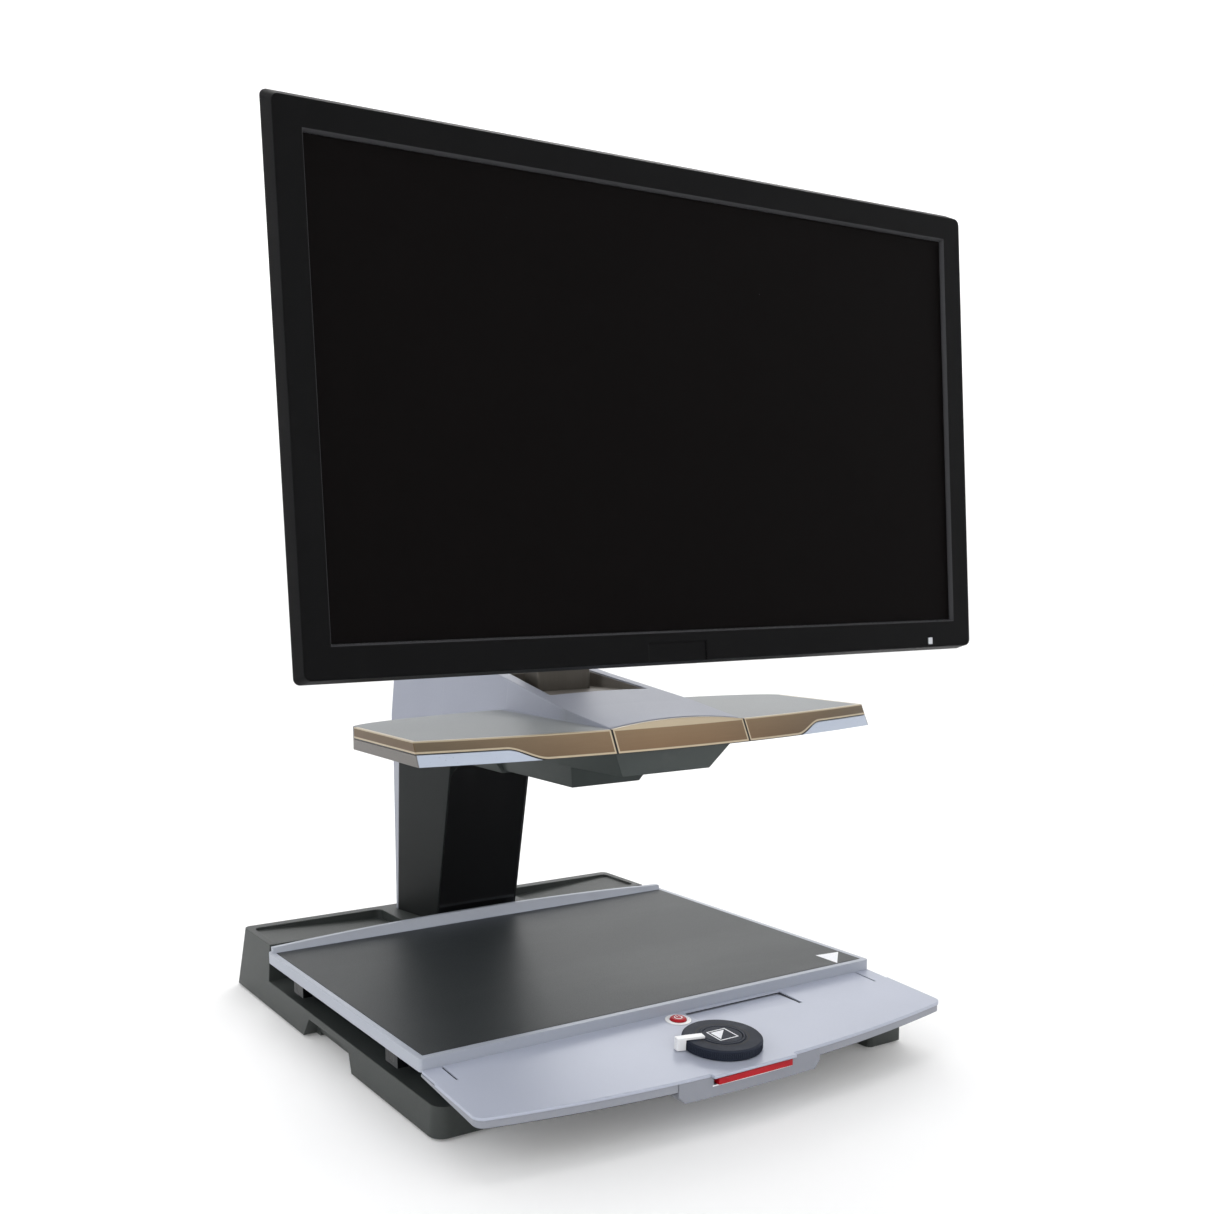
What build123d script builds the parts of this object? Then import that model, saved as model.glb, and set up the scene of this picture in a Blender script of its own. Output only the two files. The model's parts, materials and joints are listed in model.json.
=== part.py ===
from build123d import *
import math
import os

# Desktop video magnifier: a screen on a sliding mast, a camera wing on a leaning column,
# and a reading table that slides left-right and front-back on a low base. Sizes in mm.
# Design frame: x = 0 on the middle plane, y = 0 at the screen's front, z = 0 on the desk.
# The written solids are shifted in y so that the origin is under the middle of the whole.

# ---- clearances and walls ----
GAP = 0.3                 # between a cover and its neighbour
RUN = 0.06                # radial clearance of a turning or sliding fit
SEAT = 0.02               # radial clearance of a fixed rod in its bracket
WALL = 3.0                # moulded wall

# ---- base ----
BASE_HALF = 199.3         # half width at the underside
BASE_FOOT = 2.0           # underside above the desk
BASE_REAR = 406.0         # rear edge at the underside
BLOCK_FRONT = 322.0       # front of the raised rear block
BLOCK_TOP = 56.0          # rear deck height
BLOCK_DRAFT_X = 3.3       # sides lean in by this at the deck
BLOCK_DRAFT_Y = 15.0      # rear leans in by this at the deck
RAIL_TOP = 24.0
RAIL_INNER = 163.0        # inner face of a side rail
RAIL_CORNER = 10.0
FLOOR_TOP = 8.0           # low floor between the rails
FLOOR_FRONT = 8.0
FOOT_BLOCK_FRONT = -31.0  # front of the block that lengthens the right rail
FOOT_PAD_R = 9.0
GRIP_FRONT = 139.0        # hand grip cut in each side
GRIP_REAR = 240.0
GRIP_TOP = 18.0
GRIP_DEPTH = 11.0
GRIP_UNDER = 5.5          # height of the finger space behind the scallop
TROUGH_IN = 66.0          # pen trough, end nearest the column
TROUGH_OUT = 190.0
TROUGH_FRONT = 328.0
TROUGH_REAR = 381.0
TROUGH_DEEP = 8.5         # depth at the column end
TROUGH_SHALLOW = 2.0      # depth at the outer end
SOCKET_FACE = 396.5
INLET_X = 120.0
INLET_Z = 22.0
INLET_R = 3.0
INLET_DEPTH = 12.0

# ---- sliding table ----
TABLE_HALF = 203.5
TABLE_FRONT = 12.3
TABLE_REAR = 305.0
TABLE_TOP = 55.5
TABLE_DEPTH = 9.5         # height of the rim
TABLE_PLATE = 3.1         # plate under the mat
LIP_THICK = 6.0           # arched stop behind the mat
LIP_END = 4.0             # its height at the ends
LIP_MID = 9.5             # its height in the middle
MAT_HALF = 199.0
MAT_FRONT = 17.7
MAT_REAR = 297.0
MAT_RISE = 0.2
MAT_THICK = 0.8
ROD_R = 4.0
X_ROD_Z = 38.0
X_ROD_Y = (70.0, 250.0)
X_BLOCK_OUT = 35.0        # outer end of a linear bearing that carries an x rod
BEARING_LENGTH = 20.0
Y_ROD_X = 120.0
Y_ROD_Z = 16.0
Y_ROD_FRONT = 30.0
Y_ROD_REAR = 302.0
BRACKET = 10.0            # length of a rod bracket along its rod
CARRIAGE_HALF = 150.0
CARRIAGE_Z = 24.6
CARRIAGE_THICK = 3.0
Y_BLOCK_FRONT = 44.0
Y_BLOCK_LENGTH = 30.0

# ---- control panel ----
PANEL_SLOPE = 3.5         # degrees, falls towards the user
PANEL_REAR_Z = 47.4       # top face where it meets the table
PANEL_END_Y = -66.0       # front edge at the ends
PANEL_MID_Y = -85.0       # front edge in the middle
PANEL_SKIN = 2.2
PANEL_REAR_UNDER = 43.5   # underside at the table
PANEL_END_UNDER = 35.3    # underside at the front corners
PANEL_CORNER = 8.0
PANEL_FOIL = 1.4          # dark closing plate under the panel
HOUSING_HALF = 62.0       # brake and dial housing
HOUSING_BEVEL = 5.0
HOUSING_FLOOR = 25.0
HOUSING_REAR = -28.0
VISOR_Y = -88.0           # foremost point of the whole
SLOT_HALF = 34.0
SLOT_Z = 35.8
SLOT_HEIGHT = 5.0
BRAKE_TRAVEL = 2.5
DIAL_Y = -50.5
DIAL_R = 28.3
DIAL_HIGH = 7.6
DIAL_BORE_R = 16.6        # inner wall of the dial ring
SPINDLE_R = 12.0
HUB_R = 16.2
BUTTON_R = 14.2
BUTTON_HIGH = 7.9
LEVER_ANGLE = 167.0
LEVER_WIDTH = 6.0
LEVER_REACH = 35.5
POWER_Y = 0.3
POWER_R = 6.2
POWER_RING_R = 9.7
RECESS_LEFT = 12.0        # shallow recess between the power button and the right end
RECESS_RIGHT = 105.0
RECESS_REAR = 9.0
RECESS_GROOVE = 3.0
RECESS_LEG = -17.0        # front end of the groove along the right edge

# ---- column ----
COLUMN_FRONT_Z60 = 311.4  # front face at z = 60
COLUMN_LEAN = 0.2229      # front face comes forward by this per mm of height
COLUMN_HALF = 41.0        # half width of the front face
COLUMN_BACK_HALF = 52.0
COVER_REAR_LOW = 371.0    # rear edge of the dark cover at the deck
COVER_REAR_HIGH = 361.0   # and at the top of the cover
SHELL_REAR_LOW = 378.4
SHELL_REAR_HIGH = 386.5
COVER_TOP = 214.0
FRONT_PANEL_HALF = 39.4
FRONT_PANEL_TOP = 203.0
FRONT_PANEL_THICK = 2.0
POST_HALF = 28.0
POST_FRONT = 320.0
POST_REAR = 354.0

# ---- camera wing and arm ----
WING_TOP = 265.5
WING_SPLIT = 257.0        # top cover above, lower shell below
WING_UNDER = 249.4
WING_HALF = 199.3
WING_END_FRONT = 22.0     # front edge at the ends, at the top
WING_MID_FRONT = -2.3     # front edge in the middle, at the top
WING_LEAN = 8.0           # front face comes forward by this at the underside
WING_END_REAR = 118.0
WING_MID_REAR = 159.0
TRIM = 3.0
TRIM_SEAM_X = 58.5
TRIM_STEP_IN = 112.0      # the trim's lower edge rises between these
TRIM_STEP_OUT = 139.0
HUMP_RISE = 0.147         # the arm's top rises by this per mm towards the column
HUMP_START_Z = 265.3
HUMP_CROWN = 4.2          # the arm's front edge and the middle trim arch by this
ARM_UNDER = 232.0
ARM_REAR = 386.0
NECK_FRONT = 102.0        # pocket in the arm for the screen's mast
NECK_REAR = 182.0
NECK_FLOOR = 276.0
HOUSE_FRONT_TOP = 4.5     # camera housing
HOUSE_FRONT_LOW = 15.0
HOUSE_STEP_Z = 228.7
HOUSE_BOTTOM = 209.2
HOUSE_REAR = 199.3
LENS_Y = 150.0
WINDOW_R = 18.0
BEAM_HALF = 30.0
BEAM_THICK = 6.0
BEAM_FRONT = 40.0

# ---- screen ----
SCREEN_Z = 482.5          # height of the screen's centre
SCREEN_TILT = 4.1         # degrees, top leans back
OPENING_HALF = 266.75
OPENING_TOP = 149.9
OPENING_LOW = -151.3
FACE_HALF = 284.6
FACE_TOP = 167.2
FACE_LOW = -171.3
SHELL_HALF = 287.2
SHELL_TOP = 173.6
SHELL_LOW = -173.8
BEZEL_DEPTH = 12.0
SHELL_DEPTH = 34.0
BULGE_DEPTH = 50.0
BULGE_HALF = 190.0
BULGE_HIGH = 118.0
PANEL_RECESS = 3.6
SCREEN_CORNER = 5.0
LCD_THICK = 8.0
PIVOT_DEPTH = 85.0        # tilt axis behind the screen's face
PIVOT_BELOW = 6.5         # and below its centre
PIN_R = 5.0
MAST_HALF = 25.0
MAST_FRONT = 154.0
MAST_REAR = 176.0
MAST_TOP = 590.0
MAST_WALL = 3.0
SLEEVE_LOW = 440.0
SLEEVE_HIGH = 500.0
SLEEVE_PLAY = 0.4
SLEEVE_WALL = 8.0
SWIVEL_Y = 112.0
SWIVEL_R = 8.0
SWIVEL_BOSS_R = 15.0

# ---- worked out ----
ORIGIN_Y = (VISOR_Y + BASE_REAR) / 2
TAN_SLOPE = math.tan(math.radians(PANEL_SLOPE))


def block(x0, x1, y0, y1, z0, z1):
    """A box between two corners."""
    return Pos((x0 + x1) / 2, (y0 + y1) / 2, (z0 + z1) / 2) * Box(x1 - x0, y1 - y0, z1 - z0)


def both(shape):
    """The shape and its mirror image across the middle plane."""
    return shape + mirror(shape, about=Plane.YZ)


def pair(shape):
    """Two separate solids, one on each side."""
    return Compound([*shape.solids(), *mirror(shape, about=Plane.YZ).solids()])


def group(shapes):
    """Separate solids kept in one node."""
    return Compound([solid for shape in shapes for solid in shape.solids()])


def drum(radius, z0, z1, x=0.0, y=0.0):
    """An upright cylinder."""
    return Pos(x, y, (z0 + z1) / 2) * Cylinder(radius, z1 - z0)


def bar_x(radius, x0, x1, y, z):
    """A round bar along x."""
    return Pos((x0 + x1) / 2, y, z) * Rot(0, 90, 0) * Cylinder(radius, x1 - x0)


def bar_y(radius, y0, y1, x, z):
    """A round bar along y."""
    return Pos(x, (y0 + y1) / 2, z) * Rot(90, 0, 0) * Cylinder(radius, y1 - y0)


def flat(points, z=0.0):
    """A polygon face at height z."""
    return Pos(0, 0, z) * make_face(Polyline(*points, close=True))


def tower(low, z_low, high, z_high):
    """A straight loft between two level polygons with as many corners."""
    return loft([flat(low, z_low), flat(high, z_high)], ruled=True)


def prism_y(points, y0, y1):
    """An (x, z) polygon run along y."""
    face = make_face(Polyline(*[(x, y0, z) for x, z in points], close=True))
    return extrude(face, amount=y1 - y0, dir=(0, 1, 0))


def prism_x(points, x0, x1):
    """A (y, z) polygon run along x."""
    face = make_face(Polyline(*[(x0, y, z) for y, z in points], close=True))
    return extrude(face, amount=x1 - x0, dir=(1, 0, 0))


def upright_edges(shape, y_below):
    """The upright edges in front of a line."""
    edges = shape.edges().filter_by(lambda e: abs(e.tangent_at(0.5).Z) > 0.9)
    return edges.filter_by(lambda e: e.center().Y < y_below)


# ============================ base ============================

def base_frame():
    """Moulded base: low floor, two side rails with hand grips, raised rear block."""
    lean = BLOCK_DRAFT_X * (RAIL_TOP - BASE_FOOT) / (BLOCK_TOP - BASE_FOOT)
    rail_section = [
        (-BASE_HALF, BASE_FOOT),
        (-BASE_HALF + lean, RAIL_TOP),
        (-RAIL_INNER, RAIL_TOP),
        (-RAIL_INNER, BASE_FOOT),
    ]
    left = prism_y(rail_section, 0, BLOCK_FRONT)
    right = mirror(left, about=Plane.YZ)
    outer = upright_edges(left, 1).sort_by(Axis.X)[0]
    left = fillet(outer, RAIL_CORNER)
    low = rectangle(BASE_HALF, BLOCK_FRONT, BASE_REAR)
    high = rectangle(BASE_HALF - BLOCK_DRAFT_X, BLOCK_FRONT, BASE_REAR - BLOCK_DRAFT_Y)
    rear = tower(low, BASE_FOOT, high, BLOCK_TOP)
    rear = fillet(rear.edges().filter_by(is_upright).group_by(Axis.Y)[-1], 6)
    floor = block(-RAIL_INNER, RAIL_INNER, FLOOR_FRONT, BLOCK_FRONT, BASE_FOOT, FLOOR_TOP)
    body = left + right + rear + floor
    body -= block(-BASE_HALF + 9, BASE_HALF - 9, BLOCK_FRONT + 5, CAVITY_REAR, 0, CAVITY_TOP)
    body -= both(trough())
    body -= both(grip())
    for front, back in ((8, GRIP_FRONT - 9), (GRIP_REAR + 10, BLOCK_FRONT - 6)):
        hollow = block(RAIL_INNER + 4, BASE_HALF - 6, front, back, 0, RAIL_TOP - 4)
        body -= both(hollow)
    for pocket in socket_bodies(GAP / 2, BASE_REAR + 5):
        body -= pocket
    return body


CAVITY_TOP = BLOCK_TOP - TROUGH_DEEP - 4.5
CAVITY_REAR = BASE_REAR - BLOCK_DRAFT_Y - 2


def is_upright(edge):
    """True for an edge that climbs more than it runs."""
    return abs(edge.tangent_at(0.5).Z) > 0.9


def rectangle(half, y0, y1):
    """Corners of a level rectangle about the middle plane."""
    return [(-half, y0), (half, y0), (half, y1), (-half, y1)]


def trough():
    """Pen trough beside the column, deeper at the column end."""
    section = [
        (TROUGH_OUT, BLOCK_TOP - TROUGH_SHALLOW),
        (TROUGH_IN, BLOCK_TOP - TROUGH_DEEP),
        (TROUGH_IN, BLOCK_TOP + 5),
        (TROUGH_OUT, BLOCK_TOP + 5),
    ]
    cut = prism_y(section, TROUGH_FRONT, TROUGH_REAR)
    return fillet(cut.edges().filter_by(is_upright), 6)


def grip():
    """Hand grip in the right side: a scallop and an undercut for the fingers."""
    scallop = [
        (GRIP_FRONT, -1),
        (GRIP_FRONT + 9, GRIP_TOP),
        (GRIP_REAR - 12, GRIP_TOP),
        (GRIP_REAR, -1),
    ]
    reach = GRIP_UNDER
    fingers = [(GRIP_FRONT + 8, -1), (GRIP_FRONT + 8, reach), (GRIP_REAR - 10, reach), (GRIP_REAR - 10, -1)]
    outside = BASE_HALF + 2
    cut = prism_x(scallop, BASE_HALF - GRIP_DEPTH, outside)
    return cut + prism_x(fingers, BASE_HALF - 2.4 * GRIP_DEPTH, outside)


def base_plate():
    """Steel plate that closes the rear block and gives the base its weight."""
    half = BASE_HALF - 9 - GAP
    return block(-half, half, BLOCK_FRONT + 5 + GAP, CAVITY_REAR - GAP, BASE_FOOT, BASE_FOOT + 1.5)


def front_foot_block():
    """Moulded block that lengthens the right rail under the control panel."""
    body = block(RAIL_INNER - 1, BASE_HALF - 1, FOOT_BLOCK_FRONT, 0, BASE_FOOT, RAIL_TOP)
    body = fillet(upright_edges(body, FOOT_BLOCK_FRONT + 1), 5)
    return body - block(RAIL_INNER + 3, BASE_HALF - 5, FOOT_BLOCK_FRONT + 4, -4, 0, RAIL_TOP - 4)


def rubber_feet():
    """Six pads that the base stands on."""
    middle = (RAIL_INNER + BASE_HALF) / 2
    spots = [(-middle, 22), (middle, FOOT_BLOCK_FRONT / 2 - 1), (-middle, 270), (middle, 270)]
    spots += [(-170, 370), (170, 370)]
    return group([drum(FOOT_PAD_R, 0, BASE_FOOT, x, y) for x, y in spots])


def socket_bodies(grow=0.0, face=SOCKET_FACE):
    """Outsides of the power inlet and the screen socket in the rear face."""
    inlet = block(106 - grow, 134 + grow, 372 - grow, face, 12 - grow, 32 + grow)
    screen = block(-146 - grow, -98 + grow, 380 - grow, face, 12 - grow, 28 + grow)
    return [inlet, screen]


def rear_sockets():
    """Round power inlet and rectangular socket for the screen's lead."""
    inlet, screen = socket_bodies()
    inlet -= bar_y(INLET_R, SOCKET_FACE - INLET_DEPTH, SOCKET_FACE + 1, INLET_X, INLET_Z)
    screen -= block(-138, -106, SOCKET_FACE - 9, SOCKET_FACE + 1, 16, 24)
    return group([inlet, screen])


def main_board():
    """Image processing board on stand-offs above the base plate."""
    board = block(-150, 40, 332, 380, 12, 13.6)
    for x in (-140, -60, 30):
        for y in (337, 375):
            board += drum(3, BASE_FOOT + 1.5, 12, x, y)
    for x, y, size, high in ((-110, 356, 30, 4), (-60, 352, 22, 3), (-10, 360, 18, 6)):
        board += block(x - size / 2, x + size / 2, y - size / 2, y + size / 2, 13.6, 13.6 + high)
    return board


def power_supply():
    """Closed power supply beside the inlet."""
    return fillet(block(60, 100, 332, 382, BASE_FOOT + 1.5, 34).edges().filter_by(is_upright), 2)


def y_bearings():
    """Two linear bearings on the base floor that the front-back rods run in."""
    outer = block(Y_ROD_X - 12, Y_ROD_X + 12, Y_BLOCK_FRONT, Y_BLOCK_FRONT + Y_BLOCK_LENGTH, FLOOR_TOP, 23.6)
    bore = bar_y(ROD_R + RUN, Y_BLOCK_FRONT - 1, Y_BLOCK_FRONT + Y_BLOCK_LENGTH + 1, Y_ROD_X, Y_ROD_Z)
    return pair(outer - bore)


# ============================ sliding table ============================

def y_carriage():
    """Plate that slides front-back and carries the left-right bearings."""
    top = CARRIAGE_Z + CARRIAGE_THICK
    front = Y_ROD_FRONT
    back = Y_ROD_REAR
    plate = block(-CARRIAGE_HALF, CARRIAGE_HALF, front, back, CARRIAGE_Z, top)
    plate = fillet(plate.edges().filter_by(is_upright), 8)
    for y0 in (front, back - BRACKET):
        leg = block(Y_ROD_X - 10, Y_ROD_X + 10, y0, y0 + BRACKET, Y_ROD_Z - 7, CARRIAGE_Z)
        leg -= bar_y(ROD_R + SEAT, y0 - 1, y0 + BRACKET + 1, Y_ROD_X, Y_ROD_Z)
        plate += both(leg)
    return plate


def y_rods():
    """Two steel rods under the carriage."""
    return pair(bar_y(ROD_R, Y_ROD_FRONT, Y_ROD_REAR, Y_ROD_X, Y_ROD_Z))


def x_bearings():
    """Four linear bearings on the carriage that the left-right rods run in."""
    bottom = CARRIAGE_Z + CARRIAGE_THICK
    blocks = []
    for y in X_ROD_Y:
        body = block(X_BLOCK_OUT - BEARING_LENGTH, X_BLOCK_OUT, y - 9, y + 9, bottom, X_ROD_Z + 7)
        bore = bar_x(ROD_R + RUN, 0, X_BLOCK_OUT + 1, y, X_ROD_Z)
        blocks.append(pair(body - bore))
    return group(blocks)


def x_rods():
    """Two steel rods fixed under the table."""
    return group([bar_x(ROD_R, -198, 198, y, X_ROD_Z) for y in X_ROD_Y])


def x_rod_brackets():
    """Four brackets that hang the rods from the table plate."""
    plate_under = TABLE_TOP - MAT_THICK + MAT_RISE - TABLE_PLATE
    brackets = []
    for y in X_ROD_Y:
        body = block(190, 198, y - 10, y + 10, X_ROD_Z - 6, plate_under)
        brackets.append(pair(body - bar_x(ROD_R + SEAT, 189, 199, y, X_ROD_Z)))
    return group(brackets)


def table_frame():
    """Moulded table: rim, plate with a shallow bed for the mat, arched stop at the rear."""
    bed = TABLE_TOP + MAT_RISE - MAT_THICK
    body = block(-TABLE_HALF, TABLE_HALF, TABLE_FRONT, TABLE_REAR, TABLE_TOP - TABLE_DEPTH, TABLE_TOP)
    body = fillet(body.edges().filter_by(is_upright), 2.5)
    body -= block(-MAT_HALF - 0.2, MAT_HALF + 0.2, MAT_FRONT - 0.2, MAT_REAR + 0.2, bed, TABLE_TOP + 1)
    inner = TABLE_HALF - WALL
    body -= block(-inner, inner, TABLE_FRONT + WALL, TABLE_REAR - WALL, 0, bed - TABLE_PLATE)
    return body + rear_lip()


def rear_lip():
    """Arched stop: an arc over the table's width, leaning back a little."""
    half = TABLE_HALF - 2.6
    ends = TABLE_TOP + LIP_END
    middle = TABLE_TOP + LIP_MID
    y0 = TABLE_REAR - LIP_THICK
    arc = ThreePointArc((-half, y0, ends), (0, y0, middle), (half, y0, ends))
    rest = Polyline((half, y0, ends), (half, y0, TABLE_TOP), (-half, y0, TABLE_TOP), (-half, y0, ends))
    lip = extrude(make_face(arc + rest), amount=LIP_THICK, dir=(0, 1, 0))
    front = [(y0 - 1, TABLE_TOP), (y0, TABLE_TOP), (y0 + 3, middle + 1), (y0 - 1, middle + 1)]
    return lip - prism_x(front, -half - 1, half + 1)


def reading_mat():
    """Thin dark mat in the table's bed."""
    bottom = TABLE_TOP + MAT_RISE - MAT_THICK
    return block(-MAT_HALF, MAT_HALF, MAT_FRONT, MAT_REAR, bottom, bottom + MAT_THICK)


# ============================ control panel ============================

def panel_z(y):
    """Height of the panel's top face."""
    return PANEL_REAR_Z + TAN_SLOPE * (y - TABLE_FRONT)


def panel_outline(inset=0.0):
    """Panel in plan, tall, with a bowed front."""
    half = TABLE_HALF - inset
    end = PANEL_END_Y + inset
    middle = PANEL_MID_Y + inset
    arc = ThreePointArc((-half, end, 20), (0, middle, 20), (half, end, 20))
    rest = Polyline((half, end, 20), (half, TABLE_FRONT, 20), (-half, TABLE_FRONT, 20), (-half, end, 20))
    body = extrude(make_face(arc + rest), amount=40, dir=(0, 0, 1))
    return fillet(upright_edges(body, end + 1), PANEL_CORNER - inset / 2)


def slab(depth_top, depth_low):
    """Everything between two depths under the panel's top face."""
    y0 = PANEL_MID_Y - 20
    y1 = TABLE_FRONT + 20
    corners = [
        (y0, panel_z(y0) - depth_low),
        (y1, panel_z(y1) - depth_low),
        (y1, panel_z(y1) - depth_top),
        (y0, panel_z(y0) - depth_top),
    ]
    return prism_x(corners, -TABLE_HALF - 5, TABLE_HALF + 5)


def under_z(y):
    """Height of the panel's underside, which falls faster than its top."""
    fall = (PANEL_REAR_UNDER - PANEL_END_UNDER) / (TABLE_FRONT - PANEL_END_Y)
    return PANEL_REAR_UNDER + fall * (y - TABLE_FRONT)


def wedge(below):
    """Everything between the panel's skin and a plane below its underside."""
    y0 = PANEL_MID_Y - 20
    y1 = TABLE_FRONT + 20
    corners = [
        (y0, under_z(y0) - below),
        (y1, under_z(y1) - below),
        (y1, panel_z(y1) - PANEL_SKIN),
        (y0, panel_z(y0) - PANEL_SKIN),
    ]
    return prism_x(corners, -TABLE_HALF - 5, TABLE_HALF + 5)


def housing_zone(grow=0.0):
    """Room that the brake and dial housing takes in the panel."""
    half = HOUSING_HALF + grow
    return block(-half, half, PANEL_MID_Y - 10, HOUSING_REAR + grow, 0, 80)


def on_panel(shape, y):
    """Puts a shape drawn on a level face onto the sloping panel at y."""
    return Pos(0, y, panel_z(y)) * Rot(PANEL_SLOPE, 0, 0) * shape


def panel_top():
    """Sloping skin of the control panel with its openings."""
    body = panel_outline() + block(-SLOT_HALF - 2, SLOT_HALF + 2, VISOR_Y, PANEL_MID_Y + 4, 20, 60)
    body = body & slab(0, PANEL_SKIN)
    body -= on_panel(drum(SPINDLE_R + 0.1, -5, 5), DIAL_Y)
    body -= on_panel(drum(POWER_RING_R + 0.1, -5, 5), POWER_Y)
    body -= accessory_recess()
    for side in (-1, 1):
        body -= block(side * 188 - 0.8, side * 188 + 0.8, -11, TABLE_FRONT - 1, 20, 80)
        edge = side * TABLE_HALF
        body -= block(edge - 1.2, edge + 1.2, -9, TABLE_FRONT + 1, 20, 80)
    return body


def accessory_recess():
    """Shallow wedge recess behind the dial, with a groove along its rear and right edges."""
    y0 = -13.0
    y1 = RECESS_REAR
    corners = [(y0, panel_z(y0)), (y1, panel_z(y1) - 1.4), (y1, 60), (y0, 60)]
    wedge_cut = prism_x(corners, RECESS_LEFT, RECESS_RIGHT)
    rear_groove = block(RECESS_LEFT, RECESS_RIGHT, y1 - RECESS_GROOVE / 2, y1, 30, 60)
    side_groove = block(RECESS_RIGHT - RECESS_GROOVE, RECESS_RIGHT, RECESS_LEG, y1, 30, 60)
    return wedge_cut + rear_groove + side_groove


def panel_under():
    """Lower half of the control panel, with a tongue screwed under the table."""
    body = panel_outline(0.6) & wedge(0)
    body -= housing_zone(0.0)
    tongue = block(-150, 150, TABLE_FRONT - 4, TABLE_FRONT + 10, 41.5, TABLE_TOP - TABLE_DEPTH)
    body += tongue - block(-200, 200, -100, TABLE_FRONT, 43, 60)
    return body - on_panel(drum(POWER_RING_R + 0.1, -12, 5), POWER_Y)


def panel_foil():
    """Dark closing plate under the panel, set back from its edge."""
    deep = PANEL_FOIL
    body = panel_outline(2.4) & (wedge(deep) - wedge(0))
    body -= housing_zone(0.0)
    body -= block(-300, 300, POWER_Y - 18, 60, 0, 80)
    return body


def control_housing():
    """Housing under the middle of the panel: dial bearing, electronics, brake slot."""
    low = HOUSING_HALF - HOUSING_BEVEL
    section = [
        (-low, HOUSING_FLOOR),
        (low, HOUSING_FLOOR),
        (HOUSING_HALF, HOUSING_FLOOR + HOUSING_BEVEL),
        (HOUSING_HALF, 70),
        (-HOUSING_HALF, 70),
        (-HOUSING_HALF, HOUSING_FLOOR + HOUSING_BEVEL),
    ]
    body = prism_y(section, PANEL_MID_Y - 5, HOUSING_REAR)
    body = (body & panel_outline(0.0)) - slab(-40, PANEL_SKIN)
    body -= block(-55, 55, PANEL_MID_Y + 5, HOUSING_REAR - 3, HOUSING_FLOOR + 2.5, 70)
    slot = block(-SLOT_HALF, SLOT_HALF, PANEL_MID_Y - 5, PANEL_MID_Y + 8, brake_low(), brake_high())
    return body - slot


def brake_low():
    """Lower edge of the brake slot."""
    return SLOT_Z - SLOT_HEIGHT / 2


def brake_high():
    """Upper edge of the brake slot."""
    return SLOT_Z + SLOT_HEIGHT / 2


def brake_bar():
    """Red brake slider: a bar in the slot and a wider plate behind the front wall."""
    right = SLOT_HALF - 0.4
    left = -SLOT_HALF + 0.4 + BRAKE_TRAVEL
    low = brake_low() + GAP
    high = brake_high() - GAP
    grip_bar = block(left, right, PANEL_MID_Y - 1.6, PANEL_MID_Y + 5.6, low, high)
    plate = block(left - 9, right + 9, PANEL_MID_Y + 5.6, PANEL_MID_Y + 8, low - 3, high + 1.5)
    return grip_bar + plate


def control_board():
    """Small circuit board on the housing's floor."""
    floor = HOUSING_FLOOR + 2.5
    board = block(-50, 50, -72, -34, floor + 1, floor + 2.6)
    for x in (-44, 44):
        board += drum(2.5, floor, floor + 1, x, -68) + drum(2.5, floor, floor + 1, x, -38)
    return board + block(-34, -18, -56, -42, floor + 2.6, floor + 4.6)


def dial_spindle():
    """Fixed tube that the dial turns on."""
    tube = drum(SPINDLE_R, -5.5, 2.0) + drum(15, -5.5, -PANEL_SKIN - 0.1)
    return on_panel(tube - drum(SPINDLE_R - 3, -8, 5), DIAL_Y)


def zoom_dial():
    """Large turning ring with a web that runs on the spindle."""
    ring = drum(DIAL_R, 0.5, DIAL_HIGH)
    ring = chamfer(ring.edges().group_by(Axis.Z)[-1], 1.0)
    ring -= drum(DIAL_BORE_R, 2.4, DIAL_HIGH + 1)
    ring -= drum(SPINDLE_R + RUN, 0, 4)
    return on_panel(ring, DIAL_Y)


def lever_hub():
    """Thin dark ring inside the dial that carries the lever."""
    ring = drum(HUB_R, 2.8, BUTTON_HIGH) - drum(BUTTON_R + GAP, 2, 9)
    return on_panel(ring, DIAL_Y)


def mode_lever():
    """White lever that lies over the dial and drops past its rim."""
    half = LEVER_WIDTH / 2
    top = BUTTON_HIGH + 1.5
    arm = block(BUTTON_R + 0.5, LEVER_REACH, -half, half, BUTTON_HIGH, top)
    arm += block(DIAL_R + 0.6, LEVER_REACH, -half, half, 0.6, BUTTON_HIGH)
    arm = fillet(arm.edges().filter_by(is_upright).group_by(Axis.X)[-1], 0.8)
    return on_panel(Rot(0, 0, LEVER_ANGLE) * arm, DIAL_Y)


def center_button():
    """Push button in the middle of the dial, with its stem."""
    cap = drum(BUTTON_R, 3.9, BUTTON_HIGH)
    cap = fillet(cap.edges().group_by(Axis.Z)[-1], 0.6)
    return on_panel(cap + drum(5, -5, 3.9), DIAL_Y)


def power_ring():
    """White ring around the power button."""
    ring = drum(POWER_RING_R, -PANEL_SKIN, 0.5) - drum(POWER_R + GAP, -9, 9)
    return on_panel(ring, POWER_Y)


def power_button():
    """Domed red power button."""
    cap = drum(POWER_R, -3.0, 2.2)
    return on_panel(fillet(cap.edges().group_by(Axis.Z)[-1], 1.6), POWER_Y)


def power_switch():
    """Switch body under the power button, held in the panel's lower half."""
    body = drum(POWER_RING_R, -6.6, -PANEL_SKIN) - drum(POWER_R + GAP, -5.2, 0)
    return on_panel(body, POWER_Y)


# ============================ column ============================

def column_front(z):
    """The leaning front face at height z."""
    return COLUMN_FRONT_Z60 - COLUMN_LEAN * (z - 60)


def column_plan(z, rear, inset=0.0):
    """Column cover in plan at height z: narrow in front, wider behind."""
    front = column_front(z) + inset
    half = COLUMN_HALF - inset
    back = COLUMN_BACK_HALF - inset
    return [(-half, front), (half, front), (back, rear), (-back, rear)]


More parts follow.
